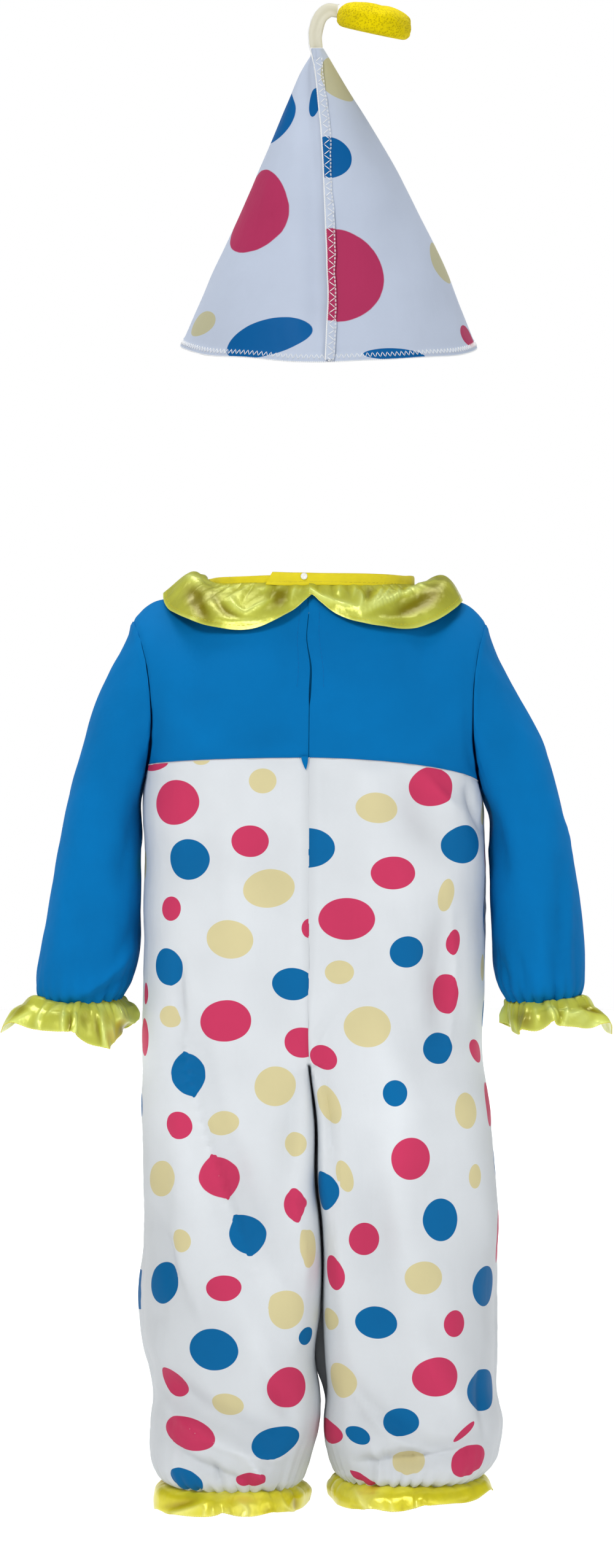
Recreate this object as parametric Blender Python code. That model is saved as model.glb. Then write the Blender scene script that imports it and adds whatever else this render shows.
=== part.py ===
# Toddler's clown costume, in the hollow form it has when worn: a jumpsuit with a plain
# yoke and sleeves, dotted trousers and satin frills, and a pointed hat above it.
# +Z is up, the back of the costume faces -Y and the wearer's left is at -X. The origin is
# at shoulder height in the middle of the neck, where the wearer's shoulders carry it.
# Sizes are millimetres, which add_object turns into metres.

import math

import bmesh
import bpy
import numpy as np

METRES = 0.001
LEFT, RIGHT = -1, 1
BACK, FRONT = -1, 1

CLOTH_WALL = 1.3
SATIN_WALL = 1.0
SEAM_GAP = 0.3
SLEEVE_GAP = 0.4

# Neckline, yoke and armholes
NECK_HALF_WIDTH = 60.0
NECK_HALF_DEPTH = 48.0
NECK_HEIGHT = 17.5
NECK_FRONT_DROP = 11.0
YOKE_DEPTH = {BACK: 66.0, FRONT: 64.0}
YOKE_HEM_HEIGHT = -80.5
YOKE_FULLNESS = 3.0
SHOULDER_RISE = 6.5
YOKE_ROWS = 7
YOKE_COLUMNS = 8
NECK_COLUMNS = 5
CENTRE_SEAM_X = -1.5
SEAM_TURN = math.radians(76)
ARMHOLE_CORNER = math.radians(-55)
ARMHOLE_ROUNDNESS = 2.3
TORSO_ROUNDNESS = 2.7
UNDERARM_COLUMNS = 2

# Trousers: the crotch curve leaves the centre seam at its start and ends between the legs.
CROTCH_START = -196.0
CROTCH_HEIGHT = -256.0
LEG_ROUNDNESS = 2.25
HIP_START = -165.0
THIGH_END = -300.0
TORSO_ROWS = 5
CROTCH_ROWS = 5
LEG_ROWS = 10
BLOUSE_START = -470.0
LEG_BOTTOMS = {LEFT: -504.0, RIGHT: -500.5}

# Neck band, snap and collar
BAND_HEIGHT = 6.8
BAND_WALL = 1.6
BAND_SEAT = 1.75
BAND_LAP = 2.1
BAND_UNDER_END = math.radians(8)
BAND_OVER_END = math.radians(23)
BAND_STEPS = 56
SNAP_RADIUS = 2.4
SNAP_HEIGHT = 1.3
SNAP_X = -4.0
COLLAR_WAVES = 9
COLLAR_WAVE_HEIGHT = 1.5
COLLAR_GATHERS = 30
COLLAR_GATHER_HEIGHT = 0.9
POINTS_PER_GATHER = 4
COLLAR_ROWS = 4
COLLAR_OPENING = math.radians(1.2)

# Hat: the whole hat leans back by its tilt, about the middle of its rim.
HAT_X = 9.9
HAT_Y = 4.0
HAT_Z = 162.0
HAT_TILT = math.radians(11.5)
SEAM_STRIP_WIDTH = 5.4
SEAM_STRIP_SHIFT = -2.0
SEAM_STRIP_WALL = 1.3
TIP_WIDTH = 8.0
TIP_THICKNESS = 3.2
FOAM_RADIUS = 22.0
FOAM_HEIGHT = 16.5
FOAM_TILT = math.radians(12)
FOAM_OFFSET = 20.1
FOAM_SEAT = 0.74

# Colours as the finished materials show them
BLUE = (0.0, 0.18, 0.52)
WHITE = (0.82, 0.85, 0.88)
SATIN_YELLOW = (0.72, 0.72, 0.10)
BAND_YELLOW = (0.86, 0.74, 0.01)
FOAM_YELLOW = (0.75, 0.62, 0.0)
SNAP_WHITE = (0.85, 0.85, 0.83)


def table(columns, *rows):
    # Rows of numbers under named columns, sorted by the first column.
    names = columns.split()
    rows = sorted(rows)
    return {name: np.array([row[i] for row in rows], float) for i, name in enumerate(names)}


TORSO = table(
    "height left right back front",
    (-84, -97.0, 99.0, 66.0, 64.0),
    (-110, -97.2, 101.0, 68.0, 66.0),
    (-140, -97.6, 102.4, 69.5, 67.0),
    (-175, -98.0, 102.6, 71.5, 68.0),
    (-205, -97.6, 101.4, 74.0, 69.0),
    (-232, -97.4, 99.8, 75.0, 69.0),
    (-256, -97.6, 100.0, 74.0, 68.0),
)

LEGS = {
    LEFT: table(
        "height outer inner back front",
        (-190, -97.8, -1.9, 62, 60),
        (-256, -97.6, -1.9, 61, 59),
        (-290, -98.0, 1.8, 58, 56),
        (-330, -98.0, 1.2, 57, 54),
        (-365, -98.5, 3.8, 56, 53),
        (-400, -100.0, 4.4, 55, 52),
        (-430, -97.0, 2.2, 55, 52),
        (-450, -93.0, 5.2, 54, 51),
        (-470, -94.5, 4.8, 54, 51),
        (-485, -94.5, 1.0, 53, 50),
        (-495, -91.5, -2.0, 50, 48),
        (-501, -86.0, -5.0, 46, 44),
        (-504, -79.5, -8.5, 41, 40),
    ),
    RIGHT: table(
        "height outer inner back front",
        (-190, 102.0, -1.1, 62, 60),
        (-256, 100.0, -0.7, 61, 59),
        (-290, 104.0, 3.2, 59, 56),
        (-330, 107.5, 4.0, 58, 55),
        (-365, 109.0, 6.2, 57, 54),
        (-400, 109.5, 6.2, 56, 53),
        (-430, 109.5, 7.8, 56, 53),
        (-450, 109.0, 9.2, 55, 52),
        (-470, 112.5, 7.2, 55, 52),
        (-485, 110.5, 8.8, 54, 51),
        (-495, 107.5, 11.5, 51, 49),
        (-501, 102.0, 14.5, 47, 45),
        (-504, 96.0, 18.0, 42, 41),
    ),
}

ARMHOLES = {
    LEFT: dict(top=(-104.5, 0.0), bottom=(-97.3, -91.5), half_depth=42.0, bow=8.0),
    RIGHT: dict(top=(102.5, -2.0), bottom=(100.0, -101.5), half_depth=43.0, bow=8.0),
}

# Each sleeve section runs from its outer line to its inner line, beside the body.
SLEEVES = {
    LEFT: table(
        "along outer_x outer_z inner_x inner_z half_depth bow",
        (0.00, -104.5, 0, -97.3, -91.5, 42.0, 8.0),
        (0.07, -111.5, -16, -98.1, -95, 40.5, 6.5),
        (0.15, -119.5, -32, -98.7, -100, 39.0, 5.0),
        (0.25, -128.5, -54, -99.2, -108, 37.0, 3.0),
        (0.37, -137.2, -84, -99.6, -123, 35.5, 1.0),
        (0.50, -145.5, -121, -100.0, -142, 34.5, 0.0),
        (0.64, -152.0, -160, -100.4, -165, 34.0, 0.0),
        (0.77, -158.0, -189, -100.8, -187, 34.5, 0.0),
        (0.87, -160.6, -208, -102.6, -203, 33.5, 0.0),
        (0.94, -159.6, -218, -106.0, -213, 30.0, 0.0),
        (1.00, -155.0, -225, -112.0, -221, 24.0, 0.0),
    ),
    RIGHT: table(
        "along outer_x outer_z inner_x inner_z half_depth bow",
        (0.00, 102.5, -2, 100.0, -101.5, 43.0, 8.0),
        (0.07, 108.5, -18, 101.5, -105, 41.5, 6.5),
        (0.15, 117.0, -34, 103.0, -110, 40.0, 5.0),
        (0.25, 127.5, -54, 104.0, -117, 38.0, 3.0),
        (0.37, 138.2, -80, 104.6, -129, 36.0, 1.0),
        (0.50, 147.0, -115, 105.0, -147, 35.0, 0.0),
        (0.64, 155.5, -152, 105.0, -168, 34.5, 0.0),
        (0.77, 159.5, -184, 105.2, -188, 34.5, 0.0),
        (0.87, 160.2, -205, 106.8, -205, 33.5, 0.0),
        (0.94, 159.0, -216, 110.0, -214, 30.0, 0.0),
        (1.00, 154.5, -224, 115.5, -222, 24.0, 0.0),
    ),
}
SLEEVE_ROWS = 13

# The largest folds: a soft trough or ridge (height below or above zero) along a curve
# through three places on the cloth, seen from behind or from the front.
FOLDS = {
    BACK: table(
        "number x0 z0 x1 z1 x2 z2 width height",
        (1, -73, -232, -66, -290, -42, -352, 11, -4.0),
        (2, -84, -240, -80, -300, -58, -352, 10, 2.6),
        (3, 54, -90, 62, -112, 74, -130, 12, -2.6),
        (4, 76, -180, 80, -215, 74, -250, 10, -3.2),
        (5, -96, -432, -60, -462, -8, -474, 10, -3.0),
        (6, 14, -430, 30, -466, 70, -476, 10, -3.0),
        (7, 22, -488, 50, -482, 96, -474, 8, -2.4),
        (8, 30, -300, 44, -345, 38, -395, 12, -2.4),
    ),
    FRONT: table(
        "number x0 z0 x1 z1 x2 z2 width height",
        (1, -70, -215, -60, -275, -38, -330, 11, -3.6),
        (2, 76, -205, 64, -262, 46, -325, 12, -3.4),
        (3, -60, -100, -52, -130, -44, -165, 12, -2.4),
        (4, 48, -104, 44, -140, 36, -170, 12, -2.2),
        (5, -92, -440, -56, -466, -6, -470, 10, -3.0),
        (6, 16, -468, 52, -468, 100, -440, 10, -3.0),
    ),
}

# Frills: how far each stands out, hangs down and puffs up, at angles from the back round
# the outer side to the front and the side next to the body.
CUFF_FRILLS = {
    LEFT: table(
        "angle reach drop puff",
        (0, 11, 17, 3), (50, 19, 11, 4), (90, 26, 13, 8), (140, 18, 11, 4),
        (180, 11, 15, 3), (230, 8, 18, 3), (270, 7, 14, 4), (304, 7, 20, 3), (334, 9, 27, 3),
        (360, 11, 17, 3),
    ),
    RIGHT: table(
        "angle reach drop puff",
        (0, 13, 11, 3), (50, 18, 12, 4), (90, 23, 15, 6), (140, 17, 12, 4),
        (180, 12, 12, 3), (230, 5, 16, 2), (270, 1, 13, 1), (320, 5, 18, 2), (360, 13, 11, 3),
    ),
}
ANKLE_FRILLS = {
    LEFT: table(
        "angle reach drop puff",
        (0, 12, 10.5, 3), (90, 13, 14, 7), (180, 12, 10.5, 3), (270, 6, 12, 4), (360, 12, 10.5, 3),
    ),
    RIGHT: table(
        "angle reach drop puff",
        (0, 12, 10, 3), (45, 12, 7, 3), (90, 11, 6, 3), (180, 12, 10, 3),
        (270, 6, 12, 4), (320, 10, 13, 3), (360, 12, 10, 3),
    ),
}
CUFF_WAVES = 8
CUFF_WAVE_HEIGHT = 3.6
ANKLE_WAVES = 10
ANKLE_WAVE_HEIGHT = 2.6
POINTS_PER_WAVE = 7
FRILL_ROWS = 4

# The collar's length and downward slope, and how high it puffs and where on its width, at
# angles from the centre back to the centre front.
COLLARS = {
    LEFT: table(
        "angle length drop puff crest",
        (0, 6, 60, 1.2, 0.50), (8, 17, 59, 1.4, 0.50), (20, 28, 56, 1.8, 0.50),
        (42, 34, 47, 2.6, 0.50), (66, 30, 28, 7.0, 0.34), (90, 25.5, 8, 11.0, 0.22),
        (120, 30, 23, 8.0, 0.34), (150, 33, 44, 3.0, 0.50), (180, 33, 50, 2.2, 0.50),
    ),
    RIGHT: table(
        "angle length drop puff crest",
        (0, 6, 60, 1.2, 0.50), (8, 15, 59, 1.4, 0.50), (20, 26, 57, 1.8, 0.50),
        (42, 33, 48, 2.6, 0.50), (66, 31, 28, 7.0, 0.50), (90, 28, 12, 12.0, 0.50),
        (120, 31, 23, 9.0, 0.50), (150, 33, 44, 3.0, 0.50), (180, 33, 50, 2.2, 0.50),
    ),
}

HAT = table(
    "rise left right depth",
    (0, -86.2, 86.2, 86.0),
    (36, -70.5, 73.0, 70.0),
    (80, -50.0, 51.0, 49.5),
    (122, -31.5, 28.0, 29.0),
    (150, -20.0, 10.5, 15.0),
    (172, -11.8, -2.8, 5.0),
)
HAT_ROWS = 10
HAT_COLUMNS = 26

TIP = table(
    "along x z",
    (0.0, -7.3, 0.0),
    (0.3, -7.4, 9.0),
    (0.6, -4.2, 18.0),
    (0.8, 0.2, 21.2),
    (1.0, 5.2, 20.8),
)


def read(rows, column, place):
    # One column of a table at any place, on a smooth curve through its rows.
    keys = next(iter(rows.values()))
    values = rows[column]
    place = min(max(place, keys[0]), keys[-1])
    slopes = np.gradient(values, keys)
    i = min(max(int(np.searchsorted(keys, place)) - 1, 0), len(keys) - 2)
    span = keys[i + 1] - keys[i]
    t = (place - keys[i]) / span
    start, end = values[i], values[i + 1]
    lean_in, lean_out = slopes[i] * span, slopes[i + 1] * span
    return (start + t * lean_in + t * t * (3 * (end - start) - 2 * lean_in - lean_out)
            + t ** 3 * (2 * (start - end) + lean_in + lean_out))


def mix(a, b, share):
    return a + (b - a) * share


def unit(vectors):
    return vectors / np.maximum(np.linalg.norm(vectors, axis=-1, keepdims=True), 1e-9)


def rounded(value, roundness):
    # A sine or cosine, made squarer by a roundness over 2.
    return math.copysign(abs(value) ** (2 / roundness), value)


def bezier(points, t):
    a, b, c, d = (np.array(p, float) for p in points)
    s = 1 - t
    return a * s ** 3 + 3 * b * s * s * t + 3 * c * s * t * t + d * t ** 3


def surface_normals(grid, core, closed):
    # Unit normals of a grid of points, facing away from its core points.
    if closed:
        along = np.roll(grid, -1, axis=1) - np.roll(grid, 1, axis=1)
    else:
        along = np.gradient(grid, axis=1)
    across = np.gradient(grid, axis=0)
    normals = unit(np.cross(along, across))
    outwards = np.sum(normals * (grid - core))
    return normals if outwards > 0 else -normals


def flatten(normals, axis, share=1.0):
    # Normals with their part along an axis taken out, for an edge that is cut square.
    axis = np.array(axis, float)
    along = np.sum(normals * axis, axis=-1, keepdims=True)
    return unit(normals - np.multiply(share, along) * axis)


def wall_object(name, outer, normals, wall, closed, colour, roughness):
    # A closed wall between a grid of outer points and the same grid moved inwards.
    rows, columns = outer.shape[:2]
    inner = outer - normals * wall
    points = np.concatenate([outer.reshape(-1, 3), inner.reshape(-1, 3)])
    half = rows * columns
    steps = columns if closed else columns - 1
    faces = []
    for r in range(rows - 1):
        for c in range(steps):
            d = (c + 1) % columns
            quad = [r * columns + c, r * columns + d, (r + 1) * columns + d, (r + 1) * columns + c]
            faces.append(quad)
            faces.append([half + i for i in reversed(quad)])
    for r, turn in ((0, 1), (rows - 1, -1)):
        for c in range(steps):
            i, j = r * columns + c, r * columns + (c + 1) % columns
            faces.append([j, i, half + i, half + j][::turn])
    if not closed:
        for c, turn in ((0, -1), (columns - 1, 1)):
            for r in range(rows - 1):
                i, j = r * columns + c, (r + 1) * columns + c
                faces.append([j, i, half + i, half + j][::turn])
    return add_object(name, points, faces, colour, roughness)


def add_object(name, points, faces, colour, roughness):
    mesh = bpy.data.meshes.new(name)
    mesh.from_pydata([tuple(p * METRES) for p in points], [], faces)
    shape = bmesh.new()
    shape.from_mesh(mesh)
    bmesh.ops.recalc_face_normals(shape, faces=shape.faces)
    bmesh.ops.triangulate(shape, faces=shape.faces)
    shape.to_mesh(mesh)
    shape.free()
    mesh.shade_smooth()
    mesh.set_sharp_from_angle(angle=math.radians(50))
    mesh.materials.append(material(name, colour, roughness))
    added = bpy.data.objects.new(name, mesh)
    bpy.context.scene.collection.objects.link(added)
    return added


def material(name, colour, roughness):
    made = bpy.data.materials.new(name + "_material")
    made.use_nodes = True
    shader = made.node_tree.nodes["Principled BSDF"]
    shader.inputs["Base Color"].default_value = (*colour, 1.0)
    shader.inputs["Roughness"].default_value = roughness
    shader.inputs["Metallic"].default_value = 0.0
    return made


def armhole_point(side, face, angle):
    # The armhole's seam line: -90 degrees is under the arm, 90 is the shoulder's tip.
    hole = ARMHOLES[side]
    up = rounded(math.sin(angle), ARMHOLE_ROUNDNESS)
    across = rounded(math.cos(angle), ARMHOLE_ROUNDNESS)
    x = mix(hole["bottom"][0], hole["top"][0], (1 + up) / 2) - side * hole["bow"] * across ** 2
    z = mix(hole["bottom"][1], hole["top"][1], (1 + up) / 2)
    return np.array([x, face * hole["half_depth"] * across, z])


def yoke_seam_point(side, face, share):
    # The seam under the yoke, from the centre of the body to the armhole's corner.
    corner = armhole_point(side, face, ARMHOLE_CORNER)
    middle = np.array([CENTRE_SEAM_X, face * YOKE_DEPTH[face], YOKE_HEM_HEIGHT])
    angle = share * SEAM_TURN
    out = rounded(math.sin(angle), TORSO_ROUNDNESS) / rounded(math.sin(SEAM_TURN), TORSO_ROUNDNESS)
    end = rounded(math.cos(SEAM_TURN), TORSO_ROUNDNESS)
    back = (rounded(math.cos(angle), TORSO_ROUNDNESS) - end) / (1 - end)
    return np.array([mix(middle[0], corner[0], out), mix(corner[1], middle[1], back),
                     mix(middle[2], corner[2], share ** 1.3)])


def neck_point(side, face, angle, spread=0.0):
    # The neckline, from the centre back or front (0) to the side of the neck (90 degrees).
    drop = NECK_FRONT_DROP * math.cos(angle) if face == FRONT else 0.0
    return np.array([side * (NECK_HALF_WIDTH + spread) * math.sin(angle),
                     face * (NECK_HALF_DEPTH + spread) * math.cos(angle), NECK_HEIGHT - drop])


def slit_half_width(z):
    # Half the gap between the back yokes: a slit that opens below the neck, then a seam.
    slit_top, slit_end, widest = 20.0, -51.0, 1.3
    if z < slit_end or z > slit_top:
        return SEAM_GAP / 2
    share = (slit_top - z) / (slit_top - slit_end)
    return SEAM_GAP / 2 + widest * math.sin(math.pi * share ** 1.8)


def yoke_grid(side, face):
    # A patch between four curves: the yoke seam, the armhole, the neck and shoulder, and
    # the centre of the body.
    neck_centre = neck_point(side, face, 0.0)
    lowest = yoke_seam_point(side, face, 0.0)
    depth = face * YOKE_DEPTH[face]
    centre_line = [lowest, (CENTRE_SEAM_X, depth * 1.07, -45), (0.0, depth * 0.89, -4), neck_centre]
    shoulder_top = armhole_point(side, face, math.pi / 2)
    neck_side = neck_point(side, face, math.pi / 2)
    grid = np.zeros((YOKE_ROWS + 1, YOKE_COLUMNS + 1, 3))
    hem = [yoke_seam_point(side, face, c / YOKE_COLUMNS) for c in range(YOKE_COLUMNS + 1)]
    top = [neck_point(side, face, math.pi / 2 * c / NECK_COLUMNS) for c in range(NECK_COLUMNS + 1)]
    shoulder_columns = YOKE_COLUMNS - NECK_COLUMNS
    for c in range(1, shoulder_columns + 1):
        share = 1 - (1 - c / shoulder_columns) ** 1.5
        rise = SHOULDER_RISE * math.sin(math.pi * share ** 2)
        top.append(mix(neck_side, shoulder_top, share) + np.array([0, 0, rise]))
    for r in range(YOKE_ROWS + 1):
        v = r / YOKE_ROWS
        centre = bezier(centre_line, v)
        edge = armhole_point(side, face, mix(ARMHOLE_CORNER, math.pi / 2, v))
        for c in range(YOKE_COLUMNS + 1):
            u = c / YOKE_COLUMNS
            corners = mix(mix(hem[0], hem[-1], u), mix(top[0], top[-1], u), v)
            point = mix(hem[c], top[c], v) + mix(centre, edge, u) - corners
            point[1] += face * YOKE_FULLNESS * math.sin(math.pi * u) * math.sin(math.pi * v)
            grid[r, c] = point
    return grid


def armhole_squareness(angles):
    # 1 where the edge is cut square to X, falling to 0 under the arm.
    return np.clip((np.degrees(angles) + 45) / 35, 0, 1)[:, None]


def square_yoke_edges(normals, side_columns):
    edge_angles = np.linspace(ARMHOLE_CORNER, math.pi / 2, YOKE_ROWS + 1)
    normals[0] = flatten(normals[0], (0, 0, 1))
    for column in side_columns:
        normals[:, column] = flatten(normals[:, column], (1, 0, 0), armhole_squareness(edge_angles))
    return normals


def build_back_yoke(side, name):
    grid = yoke_grid(side, BACK)
    for r in range(YOKE_ROWS + 1):
        grid[r, 0, 0] += side * slit_half_width(grid[r, 0, 2])
    normals = square_yoke_edges(surface_normals(grid, (0, 0, -40), False), [-1])
    normals[:, 0] = flatten(normals[:, 0], (1, 0, 0))
    normals[-1, :NECK_COLUMNS] = flatten(normals[-1, :NECK_COLUMNS], (0, 0, 1))
    normals[-1, NECK_COLUMNS:] = flatten(normals[-1, NECK_COLUMNS:], (0, 1, 0))
    wall_object(name, grid, normals, CLOTH_WALL, False, BLUE, 0.75)


def build_front_yoke():
    left = yoke_grid(LEFT, FRONT)
    right = yoke_grid(RIGHT, FRONT)
    grid = np.concatenate([left[:, :0:-1], right], axis=1)
    grid[:, :, 1] += SEAM_GAP
    normals = square_yoke_edges(surface_normals(grid, (0, 0, -40), False), [0, -1])
    middle = YOKE_COLUMNS
    neck = slice(middle - NECK_COLUMNS + 1, middle + NECK_COLUMNS)
    upright = flatten(normals[-1, neck], (0, 0, 1))
    normals[-1] = flatten(normals[-1], (0, 1, 0))
    normals[-1, neck] = upright
    wall_object("front_yoke", grid, normals, CLOTH_WALL, False, BLUE, 0.75)


def leg_share(z, u):
    # 0 where the trousers are one ring round the body, 1 where they are two legs. At the
    # centre seam it follows the round crotch curve, and nearer the side it eases in.
    fall = min(max((CROTCH_START - z) / (CROTCH_START - CROTCH_HEIGHT), 0.0), 1.0)
    crotch = 1 - math.sqrt(1 - fall * fall)
    ease = min(max((HIP_START - z) / (HIP_START - THIGH_END), 0.0), 1.0)
    return mix(ease * ease * (3 - 2 * ease), crotch, (1 - u) ** 3)


def trouser_section(side, face, u, z):
    # One place on the trousers: u runs from the centre seam or inseam to the side seam.
    depth_column = "back" if face == BACK else "front"
    outer = read(TORSO, "left" if side == LEFT else "right", z)
    depth = read(TORSO, depth_column, z)
    inner = CENTRE_SEAM_X + side * SEAM_GAP / 2
    out = rounded(math.sin(math.pi / 2 * u), TORSO_ROUNDNESS)
    back = rounded(math.cos(math.pi / 2 * u), TORSO_ROUNDNESS)
    torso = np.array([mix(inner, outer, out), face * depth * back, z])
    leg = LEGS[side]
    leg_outer, leg_inner = read(leg, "outer", z), read(leg, "inner", z)
    turn = rounded(math.cos(math.pi * u), LEG_ROUNDNESS)
    bulge = rounded(math.sin(math.pi * u), LEG_ROUNDNESS)
    x = (leg_outer + leg_inner) / 2 - (leg_outer - leg_inner) / 2 * turn
    ring = np.array([x, face * read(leg, depth_column, z) * bulge, z])
    return mix(torso, ring, leg_share(z, u))


def trouser_top_point(side, face, column):
    # The top edge: the yoke seam, then the edge that joins the sleeve under the arm.
    if column <= YOKE_COLUMNS:
        return yoke_seam_point(side, face, column / YOKE_COLUMNS)
    share = (column - YOKE_COLUMNS) / UNDERARM_COLUMNS
    return armhole_point(side, face, mix(ARMHOLE_CORNER, -math.pi / 2, share))


def column_share(column):
    corner_share = SEAM_TURN / (math.pi / 2)
    if column <= YOKE_COLUMNS:
        return corner_share * column / YOKE_COLUMNS
    return mix(corner_share, 1.0, (column - YOKE_COLUMNS) / UNDERARM_COLUMNS)


def row_heights():
    torso = np.linspace(TORSO["height"][-1], CROTCH_START, TORSO_ROWS + 1)
    turns = np.radians(np.linspace(0, 90, CROTCH_ROWS + 1)[1:])
    crotch = CROTCH_START + (CROTCH_HEIGHT - CROTCH_START) * np.sin(turns)
    legs = np.linspace(CROTCH_HEIGHT, BLOUSE_START, LEG_ROWS + 1)[1:]
    bloused = [-485, -495, -501, -504]
    return list(torso) + list(crotch) + list(legs) + bloused


def fold_height(face, x, z):
    # The height of all the folds at one place, in millimetres off the cloth.
    rows = FOLDS[face]
    total = 0.0
    for i in range(len(rows["number"])):
        curve = [np.array([rows["x" + k][i], rows["z" + k][i]]) for k in "012"]
        steps = np.linspace(0, 1, 13)[:, None]
        line = curve[0] * (1 - steps) ** 2 + 2 * curve[1] * steps * (1 - steps) + curve[2] * steps ** 2
        gaps = np.linalg.norm(line - np.array([x, z]), axis=1)
        nearest = int(np.argmin(gaps))
        fade = math.sin(math.pi * (0.12 + 0.76 * nearest / 12))
        total += rows["height"][i] * fade * math.exp(-(gaps[nearest] / rows["width"][i]) ** 2)
    return total


def hung(side, z):
    # The bloused end of each leg squeezed to its own bottom height.
    lowest = LEGS[side]["height"][0]
    return z + (LEG_BOTTOMS[side] - lowest) * max(0.0, (z - BLOUSE_START) / (lowest - BLOUSE_START))


def build_trouser_panel(side, face, name):
    heights = row_heights()
    columns = YOKE_COLUMNS + UNDERARM_COLUMNS + 1
    grid = np.zeros((len(heights), columns, 3))
    for c in range(columns):
        u = column_share(c)
        top = trouser_top_point(side, face, c)
        top[2] -= SEAM_GAP
        if c == 0:
            top[0] += side * SEAM_GAP / 2
        lift = top[2] - heights[0]
        offset = top - trouser_section(side, face, u, top[2])
        for r, height in enumerate(heights):
            z = height + lift * max(0.0, 1 - r / TORSO_ROWS)
            grid[r, c] = trouser_section(side, face, u, z) + offset * max(0.0, 1 - r / 3)
            grid[r, c, 2] = hung(side, z)
    centre = np.array([side * 50.0, 0, 0])
    core = grid * (0, 0, 1) + centre
    normals = surface_normals(grid, core, False)
    for r in range(2, len(heights) - 2):
        for c in range(1, columns - 1):
            grid[r, c] += normals[r, c] * fold_height(face, grid[r, c, 0], grid[r, c, 2])
    if face == FRONT:
        grid[:, :, 1] += SEAM_GAP
    normals = surface_normals(grid, core, False)
    crotch_row = TORSO_ROWS + CROTCH_ROWS
    normals[:crotch_row, 0] = flatten(normals[:crotch_row, 0], (1, 0, 0))
    normals[crotch_row:, 0] = flatten(normals[crotch_row:, 0], (0, 1, 0))
    normals[:, -1] = flatten(normals[:, -1], (0, 1, 0))
    normals[0] = flatten(normals[0], (0, 0, 1))
    normals[-1] = flatten(normals[-1], (0, 0, 1))
    wall_object(name, grid, normals, CLOTH_WALL, False, WHITE, 0.6)


def ring_angles():
    # Armhole angles of a sleeve's columns: up the back from under the arm, down the front.
    under = np.linspace(-math.pi / 2, ARMHOLE_CORNER, UNDERARM_COLUMNS + 1)
    upper = np.linspace(ARMHOLE_CORNER, math.pi / 2, YOKE_ROWS + 1)[1:]
    half = list(under) + list(upper)
    return [(BACK, angle) for angle in half] + [(FRONT, angle) for angle in half[-2:0:-1]]


def sleeve_section_point(side, along, face, angle):
    rows = SLEEVES[side]
    up = rounded(math.sin(angle), ARMHOLE_ROUNDNESS)
    across = rounded(math.cos(angle), ARMHOLE_ROUNDNESS)
    x = mix(read(rows, "inner_x", along), read(rows, "outer_x", along), (1 + up) / 2)
    z = mix(read(rows, "inner_z", along), read(rows, "outer_z", along), (1 + up) / 2)
    x -= side * read(rows, "bow", along) * across ** 2
    return np.array([x, face * read(rows, "half_depth", along) * across, z])


def build_sleeve(side, name):
    angles = ring_angles()
    stations = np.linspace(0, 1, SLEEVE_ROWS + 1)
    grid = np.array([[sleeve_section_point(side, s, f, a) for f, a in angles] for s in stations])
    grid[:, :, 0] += side * SLEEVE_GAP * (1 - stations[:, None]) ** 4
    core = grid.mean(axis=1, keepdims=True)
    normals = surface_normals(grid, core, True)
    squareness = armhole_squareness(np.array([angle for _, angle in angles]))
    normals[0] = flatten(normals[0], (1, 0, 0), squareness)
    normals[-1] = flatten(normals[-1], (0, 0, 1))
    wall_object(name, grid, normals, CLOTH_WALL, True, BLUE, 0.75)


def frill_grid(ring, rows, side, waves, wave_height):
    # Rings that flare from a gather line to a wavy hem. The ring gives a place at any angle.
    columns = waves * POINTS_PER_WAVE
    grid = np.zeros((FRILL_ROWS + 1, columns, 3))
    for c in range(columns):
        angle = 2 * math.pi * c / columns
        start = ring(angle)
        out = np.array([side * math.sin(angle), -math.cos(angle), 0.0])
        reach = read(rows, "reach", math.degrees(angle))
        drop = read(rows, "drop", math.degrees(angle))
        puff = read(rows, "puff", math.degrees(angle))
        length = math.hypot(reach, drop)
        rise = (out * drop + np.array([0, 0, reach])) / length
        wave = math.sin(waves * angle + 0.9 * math.sin(3 * angle) + 0.6 * math.sin(5 * angle + 1))
        size = wave_height * (0.75 + 0.25 * math.sin(4 * angle + 2))
        for r in range(FRILL_ROWS + 1):
            t = r / FRILL_ROWS
            lift = wave * size * t + puff * math.sin(math.pi * t)
            grid[r, c] = start + out * reach * t - np.array([0, 0, drop * t]) + rise * lift
    return grid


def build_frill(name, grid):
    core = grid.mean(axis=1, keepdims=True) - np.array([0, 0, 25.0])
    normals = surface_normals(grid, core, True)
    normals[0] = flatten(normals[0], (0, 0, 1))
    wall_object(name, grid, normals, SATIN_WALL, True, SATIN_YELLOW, 0.35)


def build_cuff_frill(side, name):
    rows = SLEEVES[side]
    outer = np.array([read(rows, "outer_x", 1.0), 0, read(rows, "outer_z", 1.0)])
    inner = np.array([read(rows, "inner_x", 1.0), 0, read(rows, "inner_z", 1.0)])
    half_depth = read(rows, "half_depth", 1.0)

    def ring(angle):
        point = mix(inner, outer, (1 + math.sin(angle)) / 2)
        return point + np.array([0, -half_depth * math.cos(angle), -SEAM_GAP - 0.2])

    build_frill(name, frill_grid(ring, CUFF_FRILLS[side], side, CUFF_WAVES, CUFF_WAVE_HEIGHT))


def build_ankle_frill(side, name):
    rows = LEGS[side]
    outer, inner = rows["outer"][0], rows["inner"][0]

    def ring(angle):
        depth = rows["back"][0] if math.cos(angle) > 0 else rows["front"][0]
        x = (outer + inner) / 2 + (outer - inner) / 2 * math.sin(angle)
        return np.array([x, -depth * math.cos(angle), LEG_BOTTOMS[side] - SEAM_GAP - 0.1])

    build_frill(name, frill_grid(ring, ANKLE_FRILLS[side], side, ANKLE_WAVES, ANKLE_WAVE_HEIGHT))


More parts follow.
